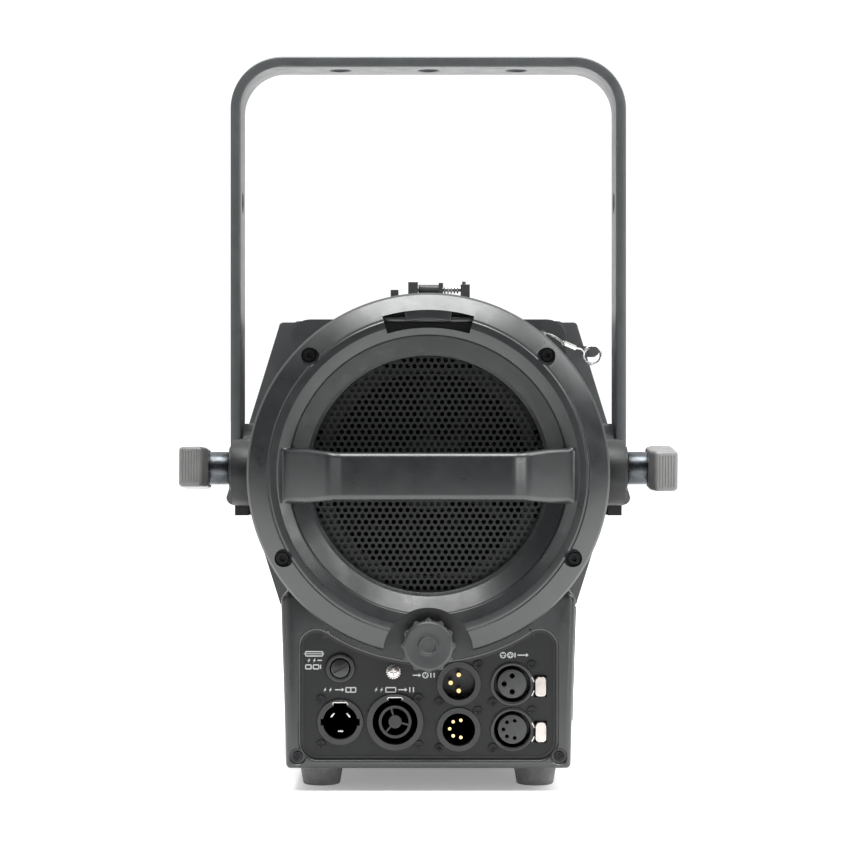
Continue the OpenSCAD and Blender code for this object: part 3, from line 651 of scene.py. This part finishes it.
def upper_arc(radii, turn, steps):
    """Outline of an arc strip at the top of the cover, turn degrees to each side."""
    return (arc(0, 0, radii[1], 90 - turn, 90 + turn, steps)
            + arc(0, 0, radii[0], 90 + turn, 90 - turn, steps))


def cover_cuts():
    """Knob pocket, countersunk screw wells and the notch of the safety bar."""
    cuts = [rod(POCKET_R, -200, DISH_FLOOR, 0, POCKET_Z, 128)]
    well = [(0, -170), (9.5, -170), (4.3, -158.6), (4.1, -157.8), (4.1, -151), (0, -151)]
    for angle in COVER_SCREW_ANGLES:
        x = COVER_SCREW_R * math.cos(math.radians(angle))
        z = COVER_SCREW_R * math.sin(math.radians(angle))
        cuts.append(lathe(well, 48, x, z))
    cuts.append(slab(upper_arc(NOTCH_R, NOTCH_TURN, 16), -170, DISH_FLOOR - 0.4))
    return cuts


def rear_cover():
    """The cast cover, with a bridge over the safety bar in its notch."""
    cover = make("rear_cover_casting", cover_ring())
    carve(cover, add=[cover_handle()], cut=cover_cuts())
    bar_low, bar_high = span("safety_bar")
    bridge = slab(upper_arc(BRIDGE_R, BRIDGE_TURN, 10), bar_low.y - 1.4, bar_high.y + 1, 0.9, 0.6)
    carve(cover, add=[bridge])
    dress(cover, COAT, "housing", "powder_coat", "rear_cover")


rear_cover()

# ---------- Grille ----------

GRILLE_PITCH = 3.8
GRILLE_HOLE_R = 1.27


def grille():
    """Perforated sheet: one hexagonal cell for each hole, joined edge to edge."""
    low, high = span("grille")
    row = GRILLE_PITCH * math.sqrt(3) / 2
    rows = int(high.x / row)
    columns = int(high.x / GRILLE_PITCH) + 1
    corner_r = GRILLE_PITCH / math.sqrt(3)
    verts, faces = [], []
    for j in range(-rows, rows + 1):
        for i in range(-columns, columns + 1):
            x = (i + (0.5 if j % 2 else 0.0)) * GRILLE_PITCH
            z = j * row
            reach = math.hypot(x, z)
            if reach > high.x - corner_r:
                continue
            outer = arc(x, z, corner_r, 30, 330, 5)
            start = len(verts)
            if reach > GRILLE_R:
                verts += outer
                faces.append(tuple(range(start, start + 6)))
                continue
            verts += outer + arc(x, z, GRILLE_HOLE_R, 30, 360, 11)
            for k in range(6):
                inner = [start + 6 + (2 * k + n) % 12 for n in (2, 1, 0)]
                faces.append((start + k, start + (k + 1) % 6, *inner))
    sheet = make("perforated_grille", ([(x, low.y, z) for x, z in verts], faces))
    thick = sheet.modifiers.new("thick", "SOLIDIFY")
    thick.thickness = (high.y - low.y) * MM
    thick.offset = 0.0
    bake(sheet)
    sheet.data.transform(Matrix.Translation((0, (high.y - low.y) / 2 * MM, 0)))
    dress(sheet, GRILLE_COAT, "housing", "grille_coat", "grille")


grille()

# ---------- Yoke ----------

YOKE_BAR = 6.0
YOKE_EDGE = 0.9
YOKE_CORNER = 31.0
CLAMP_HOLE_R = 6.5
CLAMP_HOLES_X = (-53, 0, 53)
ARM_HOLE_Z = 160.0
PIVOT_HOLE_R = 5.08


def flared_bore(r, flare, depth):
    """A hole through the yoke's bar, wider at both faces."""
    return lathe([(0, -1), (r + flare, -1), (r, depth), (r, YOKE_BAR - depth),
                  (r + flare, YOKE_BAR + 1), (0, YOKE_BAR + 1)], 64)


def yoke():
    """Flat bar with rounded edges swept up one arm, across and down the other."""
    high = span("yoke")[1]
    half = YOKE_BAR / 2
    mid_r = YOKE_CORNER - half
    left, top = -high.x + YOKE_CORNER, high.z - YOKE_CORNER
    line = [(-high.x + half, 0.0)]
    line += arc(left, top, mid_r, 180, 90, 20) + arc(-left, top, mid_r, 90, 0, 20)
    line.append((high.x - half, 0.0))
    section = rectangle(-half, -high.y, half, high.y, YOKE_EDGE, 3)
    rings = []
    for i, (x, z) in enumerate(line):
        before = Vector(line[max(i - 1, 0)])
        after = Vector(line[min(i + 1, len(line) - 1)])
        run = (after - before).normalized()
        rings.append([(x - run.y * across, deep, z + run.x * across) for across, deep in section])
    bent = make("yoke_bar", loft(rings))
    eased = 0.25
    end = spun(lathe([(0, -half), (high.y - YOKE_EDGE, -half), (high.y - eased, -half + eased),
                      (high.y, -half + YOKE_EDGE), (high.y, half - YOKE_EDGE),
                      (high.y - eased, half - eased), (high.y - YOKE_EDGE, half), (0, half)],
                     96), 90, "Z")
    clamp_bore = flared_bore(CLAMP_HOLE_R, 1.6, 0.6)
    pivot_bore = flared_bore(PIVOT_HOLE_R, 0.82, 0.4)
    ends = []
    holes = [moved(spun(clamp_bore, 90, "X"), x, 0, high.z - YOKE_BAR) for x in CLAMP_HOLES_X]
    for side in (-1, 1):
        ends.append(moved(end, side * (high.x - half)))
        place = high.x - YOKE_BAR if side > 0 else -high.x
        holes.append(moved(spun(clamp_bore, -90, "Z"), place, 0, ARM_HOLE_Z))
        holes.append(moved(spun(pivot_bore, -90, "Z"), place))
    carve(bent, add=ends, cut=holes)
    dress(bent, YOKE_COAT, "yoke_frame", "yoke_coat", "yoke")


yoke()

# ---------- Base ----------

BASE_LEAN = 3.0
BARREL_CLEARANCE_R = 97.3
BEZEL_BACK = -144.0
BEZEL_FRONT = -136.05
WALL = 3.0
WINDOW_LENGTH = 56.0
PANEL_FACE = span("connector_panel")[0].y
# Where a piece that stands on the panel starts, just clear of its face
PANEL_TOUCH = PANEL_FACE - 0.02
# x, and height above the floor
BEZEL_SCREW = (72.0, 19.5)


def base_outline():
    """Rear view of the base, wider at the top, with rounded corners."""
    low, high = span("base_shell")
    foot = high.x - BASE_LEAN
    return rounded([(-foot, low.z, 2.6), (foot, low.z, 2.6),
                    (high.x, high.z, 5), (-high.x, high.z, 5)], 5)


def panel_opening():
    """Opening of the bezel: its top edge runs round the lamp axis between two lobes."""
    half, low, r, lobe_r, top_r = 70.5, floor_height(18), 10.0, 9.0, 104.1
    lobe_x = half - lobe_r
    lobe_z = -math.sqrt((top_r + lobe_r) ** 2 - lobe_x ** 2)
    turn = math.degrees(math.atan2(-lobe_z, -lobe_x))
    return (
        arc(half - r, low + r, r, -90, 0, 12) + arc(lobe_x, lobe_z, lobe_r, 0, turn, 14)
        + arc(0, 0, top_r, turn - 180, -turn, 40)
        + arc(-lobe_x, lobe_z, lobe_r, 180 - turn, 180, 14)
        + arc(r - half, low + r, r, 180, 270, 12)
    )


def rear_bezel():
    """Frame round the connector panel, with rounded outer and inner edges."""
    bezel = make("rear_bezel_frame", slab(base_outline(), BEZEL_BACK, BEZEL_FRONT, 3.4, 0, 5))
    lip = 1.2
    opening = slab(inset(panel_opening(), -lip), BEZEL_BACK - 2, BEZEL_BACK + lip, 0, lip, 5)
    cuts = [rod(BARREL_CLEARANCE_R, -160, -120, steps=160), slab(panel_opening(), -150, -120),
            opening]
    head_floor = BEZEL_BACK + 2.6
    well = [(0, -150), (4.9, -150), (4.9, BEZEL_BACK), (4.15, BEZEL_BACK + 0.7),
            (4.15, head_floor), (1.7, head_floor), (1.7, -120), (0, -120)]
    for side in (-1, 1):
        cuts.append(lathe(well, 48, side * BEZEL_SCREW[0], floor_height(BEZEL_SCREW[1])))
    carve(bezel, cut=cuts)
    dress(bezel, COAT, "housing", "powder_coat", "rear_bezel")


def panel_shade_strip():
    """Dark strip on the connector panel round the inside of the bezel's opening: painted shade
    along the edge of the recess.
    """
    outline = panel_opening()
    strip = make("panel_shade_strip", slab(inset(outline, 0.05), PANEL_FACE - 0.5, PANEL_TOUCH))
    carve(strip, cut=[slab(inset(outline, 1.6), PANEL_FACE - 2, PANEL_FACE + 1)])
    dress(strip, NYLON, "housing", "rubber")


def base_shell():
    """Folded housing under the barrel, with rounded front edges and the control window."""
    low, high = span("base_shell")
    shell = make("base_housing", slab(base_outline(), low.y, high.y, 0, 4, 5))
    panel_low, panel_high = span("control_panel")
    middle = (panel_low.z + panel_high.z) / 2
    window = slab(rectangle(60, middle - WINDOW_LENGTH / 2, 100, middle + WINDOW_LENGTH / 2),
                  -110, 40)
    nose = slab(rectangle(-89, -94, 89, -60), high.y - WALL - 0.5, high.y + 4)
    hollow = slab(inset(base_outline(), WALL), low.y - 1, high.y - WALL)
    barrel = rod(BARREL_CLEARANCE_R, low.y - 1, high.y + 1, steps=160)
    carve(shell, cut=[hollow, barrel, window, nose])
    dress(shell, COAT, "housing", "powder_coat", "base_shell")


rear_bezel()
panel_shade_strip()
base_shell()

# ---------- Knobs ----------

GROOVES = 6
GROOVE_PITCH = 1.7
KNOB_LOBES = 12


def lock_knob_shape():
    """Stem, tapered head and finger grooves of the right side's T-handle, drawn upright."""
    wide_x, wide, narrow = 135.2, 22.8, 20.2
    plan = rounded([(132, -13, 3), (wide_x, -wide, 2.4), (149, -narrow, 3.2),
                    (149, narrow, 3.2), (wide_x, wide, 2.4), (132, 13, 3)], 6)
    head = spun(slab(plan, -12, 12, 2.2, 2.2, 5), 90, "X")
    stem = spun(rod(10, 120, 133.4, steps=64, edge=0.8), -90, "Z")
    grooves = []
    for i in range(GROOVES):
        x = 137.8 + i * GROOVE_PITCH
        # The end face slopes in by 0.188 mm for each millimetre outwards
        face = -wide - 0.1 + 0.188 * (x - wide_x)
        outline = rectangle(x - 0.4, -9.6, x + 0.4, 9.6, 0.35, 3)
        groove = slab(outline, face - 1, face + 0.55, 0, 0.3)
        grooves.append(groove)
        grooves.append(spun(groove, 180, "X"))
    return stem, head, grooves


def lock_knob(node, body, tilt, side):
    """One lock knob, turned a little on its stem as it was left when tightened."""
    stem, head, grooves = lock_knob_shape()

    def placed(solid):
        return mirrored(spun(mirrored(solid, 1, side), tilt, "X"), side, 1)

    knob = make(node + "_handle", placed(head))
    carve(knob, cut=[placed(groove) for groove in grooves])
    dress(knob, KNOB_PLASTIC, body, "knob_plastic", node)
    dress(make(node + "_stem", placed(stem)), STEM_METAL, body, "knob_plastic", node)


def zoom_knob():
    """Lobed grip behind a smooth cap with a raised ring."""
    low, high = span("zoom_knob")
    z = (low.z + high.z) / 2
    outline = []
    for i in range(KNOB_LOBES * 10):
        angle = 2 * math.pi * i / (KNOB_LOBES * 10)
        swell = max(0.0, math.cos(KNOB_LOBES * angle)) ** 0.6
        r = 13.5 + 1.4 * swell
        outline.append((r * math.cos(angle), z + r * math.sin(angle)))
    grip = slab(outline, low.y + 2.2, -158, 0.5, 0.5, 3)
    face = low.y
    cap = lathe(rounded([
        (0, face + 0.8), (3.6, face + 0.8, 0.3), (4.3, face, 0.3), (5.2, face, 0.4),
        (5.7, face + 1.6, 0.5), (10.4, face + 1.1, 1.2), (12.2, face + 0.9, 0.6),
        (13.5, face + 2.0, 0.7), (13.5, face + 4), (0, face + 4),
    ], 4), 96, 0, z)
    collar = rod(12.8, -159, high.y, 0, z, 64, 0.6)
    knob = make("zoom_knob_grip", grip)
    carve(knob, add=[cap, collar])
    dress(knob, ZOOM_PLASTIC, "zoom_drive", "black_plastic", "zoom_knob")


lock_knob("lock_knob_left", "left_knob", -4, -1)
lock_knob("lock_knob_right", "right_knob", 4, 1)
zoom_knob()

# ---------- Sockets ----------

# Centres on the panel: x, and height above the floor
SOCKETS = {"inlet": (-48.5, 38.3), "outlet": (-18.3, 38.3), "out3": (46.2, 59.3),
           "out5": (46.3, 34.2), "earth": (-19.2, 66.0), "fuse": (-48.5, 68.0)}
TAB_OFFSET = (15.6, -1.3)
WIRE = 0.55
WASHER_TEETH = 18


def on_panel(solid, socket):
    """The solid moved from the lamp axis to a socket's centre."""
    x, height = SOCKETS[socket]
    return moved(solid, x, 0, floor_height(height))


def key_springs():
    """Bright spring strips in the key slots of the mains sockets."""
    for socket, z, face in (("inlet", 10.9, -142.3), ("outlet", 13.7, -142.7)):
        line = [(-4.3, z - 1.1), (-3.6, z), (3.6, z), (4.3, z - 1.1)]
        strip = ribbon(line, WIRE, face, face + 0.8)
        spring = make(socket + "_key_spring", on_panel(strip, socket))
        dress(spring, NICKEL, "housing", "bright_metal")


def tab_catches():
    """Angled catch wires beside the push tabs."""
    x, z = TAB_OFFSET
    for socket in ("out3", "out5"):
        wires = []
        for side in (-1, 1):
            line = [(x - 4.9, z + side * 5.2), (x - 3.5, z + side * 2.4)]
            wires.append(ribbon(line[::side], WIRE, -142.0, -141.5))
        catch = make(socket + "_catch", on_panel(together(wires), socket))
        dress(catch, NICKEL, "housing", "bright_metal")


def fuse():
    """Round fuse holder and the slotted cap that turns in it."""
    holder = make("fuse_holder_ring", on_panel(lathe(rounded([
        (5.4, -142.5, 0.5), (7.6, -142.5, 0.8), (8.2, -141.6, 0.5), (8.2, PANEL_TOUCH),
        (7.4, PANEL_TOUCH), (7.4, -104), (5.4, -104),
    ], 4), 64), "fuse"))
    dress(holder, BLACK_PLASTIC, "housing", "black_plastic", "fuse_holder")
    cap = make("fuse_cap_disc", on_panel(rod(5, -144.2, -132, steps=64, edge=0.5), "fuse"))
    slot = spun(slab(rectangle(-3.9, -0.6, 3.9, 0.6, 0.5), -146, -143), -30, "Y")
    carve(cap, cut=[on_panel(slot, "fuse")])
    dress(cap, BLACK_PLASTIC, "fuse_carrier", "black_plastic", "fuse_cap")


def inlet_blades():
    """Three flat contacts with rounded tips, set round the inlet's centre."""
    blades = []
    for angle in (38, 142, 270):
        blade = slab(rectangle(5.0, -1.6, 6.1, 1.6, 0.3, 3), -137, -112, 0.3)
        blades.append(on_panel(spun(blade, -angle, "Y"), "inlet"))
    contacts = make("inlet_contacts", together(blades))
    dress(contacts, NICKEL, "housing", "bright_metal", "inlet_blades")


def data_outlets():
    """Female sockets: a thin-lipped shell round a face with contact bores."""
    shell = lathe(rounded([
        (10.1, -141.0, 0.3), (11.0, -141.4, 0.4), (12.0, -141.2, 0.4), (12.1, PANEL_TOUCH),
        (11.6, PANEL_TOUCH), (11.6, -121), (0, -121), (0, -124), (10.1, -124),
    ], 4), 96)
    disc = rod(8.0, -140.6, -124.2, steps=96, edge=0.5)
    # Radius of the contacts' circle, radius of a bore, and their angles
    layouts = {"out3": (4.4, 1.35, (90, 180, 270)),
               "out5": (4.9, 0.95, (75, 127.5, 180, 232.5, 285))}
    for socket, (circle, r, angles) in layouts.items():
        face = make(socket + "_face", on_panel(disc, socket))
        flare = [(0, -142), (r + 0.7, -142), (r, -140), (r, -126), (0, -126)]
        bores = []
        for angle in map(math.radians, angles):
            bore = lathe(flare, 24, circle * math.cos(angle), circle * math.sin(angle))
            bores.append(on_panel(bore, socket))
        carve(face, cut=bores)
        dress(face, SOCKET_FACE, "housing", "black_plastic", "data_outlets")
    shells = make("data_outlet_shells", together([on_panel(shell, name) for name in layouts]))
    dress(shells, BLACK_PLASTIC, "housing", "black_plastic", "data_outlets")


def earth_screw():
    """Pan head with a cross recess on a toothed lock washer."""
    steps = WASHER_TEETH * 4
    outline = []
    for i in range(steps):
        r = 4.15 if i % 4 < 2 else 3.55
        a = 2 * math.pi * i / steps
        outline.append((r * math.cos(a), r * math.sin(a)))
    washer = slab(outline, PANEL_FACE - 1.2, PANEL_TOUCH, 0.2)
    head = lathe(rounded([(0, -143.4), (1.7, -143.4, 0.8), (3.1, -142.6, 0.8), (3.4, -141.1, 0.2),
                          (0, -141.1)], 4), 48)
    shank = rod(2, -140.2, -128, steps=24)
    recess = [slab(rectangle(-x, -z, x, z), -145, -142.3) for x, z in ((2.0, 0.42), (0.42, 2.0))]
    screw = make("earth_screw_head", on_panel(washer, "earth"))
    carve(screw, add=[on_panel(part, "earth") for part in (head, shank)],
          cut=[on_panel(part, "earth") for part in recess])
    dress(screw, NICKEL, "housing", "bright_metal", "earth_screw")


fuse()
inlet_blades()
data_outlets()
key_springs()
tab_catches()
earth_screw()

# ---------- Pictograms on the panel ----------

# The ink stands between these two planes across y
INK = (PANEL_FACE - 0.12, PANEL_FACE - 0.01)


def stroke(line, width=0.62):
    """Inked line through (x, z) points."""
    return ribbon(line, width, *INK)


def bars(height, *places):
    """Upright strokes that start at these (x, z) places."""
    return [stroke([(x, z), (x, z + height)]) for x, z in places]


def box_icon(x, z, w, h):
    """Open frame drawn as four strokes."""
    return [stroke([(x, z), (x + w, z)]), stroke([(x, z + h), (x + w, z + h)]),
            *bars(h, (x, z), (x + w, z))]


def arrow_icon(x, z, length):
    """Arrow to the right."""
    tip = x + length
    back = tip - 1.3
    head = slab([(back, z - 1.1), (tip, z), (back, z + 1.1)], *INK)
    return [stroke([(x, z), (back, z)], 0.6), head]


def bolt_icon(x, z):
    """Mains flash."""
    outline = [(x + 0.3, z), (x + 1.9, z + 1.6), (x + 1.2, z + 1.6), (x + 1.7, z + 2.8),
               (x + 0.2, z + 1.2), (x + 0.9, z + 1.2)]
    return [slab(outline, *INK)]


def ring_icon(x, z, dots):
    """Round data socket with its contacts."""
    parts = []
    for i in range(16):
        parts.append(stroke(arc(x, z, 1.5, 22.5 * i, 22.5 * i + 23, 2), 0.5))
    for i in range(dots):
        angle = math.radians(90 + 360 * i / dots)
        parts.append(rod(0.32, *INK, x + 0.8 * math.cos(angle), z + 0.8 * math.sin(angle), 10))
    return parts


def pictograms():
    """Marks for the fuse, mains in, mains out, data in and data out."""
    fuse_z, mains_z = floor_height(67.2), floor_height(54.6)
    in_z, out_z = floor_height(64.0), floor_height(73.8)
    groups = {
        "fuse_mark": [
            *box_icon(-67.6, fuse_z + 7.4, 9.4, 2.4),
            stroke([(-68.6, fuse_z + 8.6), (-57.4, fuse_z + 8.6)], 0.4),
            *bolt_icon(-66.8, fuse_z + 3.6), *bolt_icon(-63.8, fuse_z + 3.6),
            stroke([(-61, fuse_z + 5), (-58.6, fuse_z + 5)]),
            *box_icon(-67.6, fuse_z + 0.3, 3, 2.2), *box_icon(-63.4, fuse_z + 0.3, 3, 2.2),
            *bars(2.3, (-59.4, fuse_z + 0.3)),
        ],
        "mains_in_mark": [
            *bolt_icon(-58, mains_z), *bolt_icon(-55, mains_z),
            *arrow_icon(-51.4, mains_z + 1.4, 5),
            *box_icon(-45.4, mains_z + 0.1, 5.4, 2.5), *bars(2.6, (-42.7, mains_z)),
        ],
        "mains_out_mark": [
            *bolt_icon(-29.8, mains_z), *bolt_icon(-26.8, mains_z),
            *box_icon(-23.4, mains_z + 0.1, 5.4, 2.5), *arrow_icon(-16.6, mains_z + 1.4, 5),
            *bars(2.8, (-10.2, mains_z), (-8.2, mains_z)),
        ],
        "data_in_mark": [
            *arrow_icon(-8.6, in_z, 4.6), *ring_icon(-1.6, in_z, 3),
            *bars(2.6, (1.4, in_z - 1.3), (3.2, in_z - 1.3)),
        ],
        "data_out_mark": [
            *ring_icon(41.2, out_z + 1.3, 3), *ring_icon(45.2, out_z + 1.3, 5),
            *bars(2.6, (47.8, out_z)), *arrow_icon(49.2, out_z + 1.3, 6),
        ],
    }
    for name, parts in groups.items():
        dress(make(name, together(parts)), WHITE_INK, "housing", "button_cap")


pictograms()

# ---------- Lens ----------

LENS_RIM = 6.0
LENS_STEP = 2.6
LENS_CENTRE_R = 20.0
LENS_CROWN = 3.4


def lens():
    """Fresnel lens: stepped rings round a convex centre."""
    low, high = span("lens")
    rim = high.x
    r = rim - LENS_RIM
    profile = [(0, low.y), (rim, low.y), (rim, low.y + 4), (r, low.y + 4)]
    while r > LENS_CENTRE_R:
        rise = 4.6 + 8.0 * (1 - r / rim)
        profile += [(r, low.y + rise + 3), (r - LENS_STEP, low.y + rise)]
        r -= LENS_STEP
    for k in range(9):
        a = math.pi / 2 * k / 8
        profile.append((r * math.cos(a), high.y - LENS_CROWN + LENS_CROWN * math.sin(a)))
    glass = make("fresnel_lens", lathe(profile, 96))
    dress(glass, LENS, "housing", "lens_glass", "lens")


lens()

# ---------- Edges of the CAD parts that stay ----------

# Bevel width in millimetres, and the nodes that have it
EDGE_WIDTHS = {
    1.4: ["side_bracket_left", "side_bracket_right"],
    0.9: ["front_housing", "feet", "control_panel"],
    0.6: ["push_tab_upper", "push_tab_lower"],
    0.35: ["door_frame", "top_latch", "power_inlet", "power_outlet", "data_inlets", "fan_frame",
           "button_mode", "button_enter", "button_up", "button_down"],
    0.25: ["leaf_bottom", "leaf_top", "leaf_left", "leaf_right", "cover_screws", "case_screws",
           "connector_screws", "safety_bar", "hinge_pins"],
}
for edge_width, names in EDGE_WIDTHS.items():
    for node_name in names:
        soften(frame["nodes"][node_name], edge_width)

# ---------- Stage ----------

def pale_floor():
    """A wide, pale, matt floor under the light, in shade towards the viewer."""
    mesh = bpy.data.meshes.new("pale_floor")
    mesh.from_pydata([(-40, -20, 0), (40, -20, 0), (40, 90, 0), (-40, 90, 0)], [], [(0, 1, 2, 3)])
    made = Finish("pale_floor")
    depth = made.node("ShaderNodeSeparateXYZ", {"Vector": made.places}).outputs["Y"]
    pale = made.mix(made.noise(3, 2), (0.96, 0.96, 0.96, 1), (0.98, 0.98, 0.98, 1))
    tone = made.mix(made.ramp(depth, -0.85, -0.42), (0.12, 0.12, 0.12, 1), pale)
    made.set(Base_Color=tone, Roughness=0.9, Emission_Color=(1.0, 1.0, 1.0, 1.0),
             Emission_Strength=0.25)
    mesh.materials.append(made.material)
    floor = bpy.data.objects.new("pale_floor", mesh)
    bpy.context.scene.collection.objects.link(floor)


def softbox(name, place, target, width, height, power):
    """Rectangular studio light at a place in metres, turned to its target."""
    light = bpy.data.lights.new(name, "AREA")
    light.shape = "RECTANGLE"
    light.size = width
    light.size_y = height
    light.energy = power
    obj = bpy.data.objects.new(name, light)
    obj.location = place
    obj.rotation_euler = (Vector(target) - Vector(place)).to_track_quat("-Z", "Y").to_euler()
    bpy.context.scene.collection.objects.link(obj)


def studio_world():
    """White surroundings in front of the light and overhead, dim ones behind the viewer."""
    world = bpy.data.worlds.new("studio")
    world.use_nodes = True
    nodes, links = world.node_tree.nodes, world.node_tree.links
    place = nodes.new("ShaderNodeTexCoord")
    split = nodes.new("ShaderNodeSeparateXYZ")
    links.new(place.outputs["Generated"], split.inputs[0])
    total = nodes.new("ShaderNodeMath")
    # For each axis: the directions between which it brightens, and its strengths before and after
    rises = {"Y": (-0.3, 0.2, 0.10, 1.08), "Z": (0.5, 0.95, 0.0, 1.0)}
    for socket, (axis, values) in zip(total.inputs, rises.items()):
        ramp = nodes.new("ShaderNodeMapRange")
        ramp.interpolation_type = "SMOOTHSTEP"
        for key, value in zip(("From Min", "From Max", "To Min", "To Max"), values):
            ramp.inputs[key].default_value = value
        links.new(split.outputs[axis], ramp.inputs["Value"])
        links.new(ramp.outputs["Result"], socket)
    links.new(total.outputs[0], nodes["Background"].inputs["Strength"])
    nodes["Background"].inputs["Color"].default_value = (1.0, 1.0, 1.0, 1.0)
    bpy.context.scene.world = world


pale_floor()
studio_world()
softbox("overhead", (0.0, -0.60, 1.85), (0.0, -0.45, 0.15), 1.6, 0.95, 58)
softbox("upper_right", (1.35, -0.30, 1.35), (0.0, -0.1, 0.15), 0.9, 0.9, 16)
softbox("left_strip", (-0.91, -1.42, 0.42), (0.0, -0.16, 0.18), 0.12, 0.7, 1.6)
softbox("right_strip", (0.91, -1.42, 0.42), (0.0, -0.16, 0.18), 0.12, 0.7, 5)

# ---------- Sizes ----------

def corners(bounds):
    return [[float(v) for v in corner] for corner in bounds]
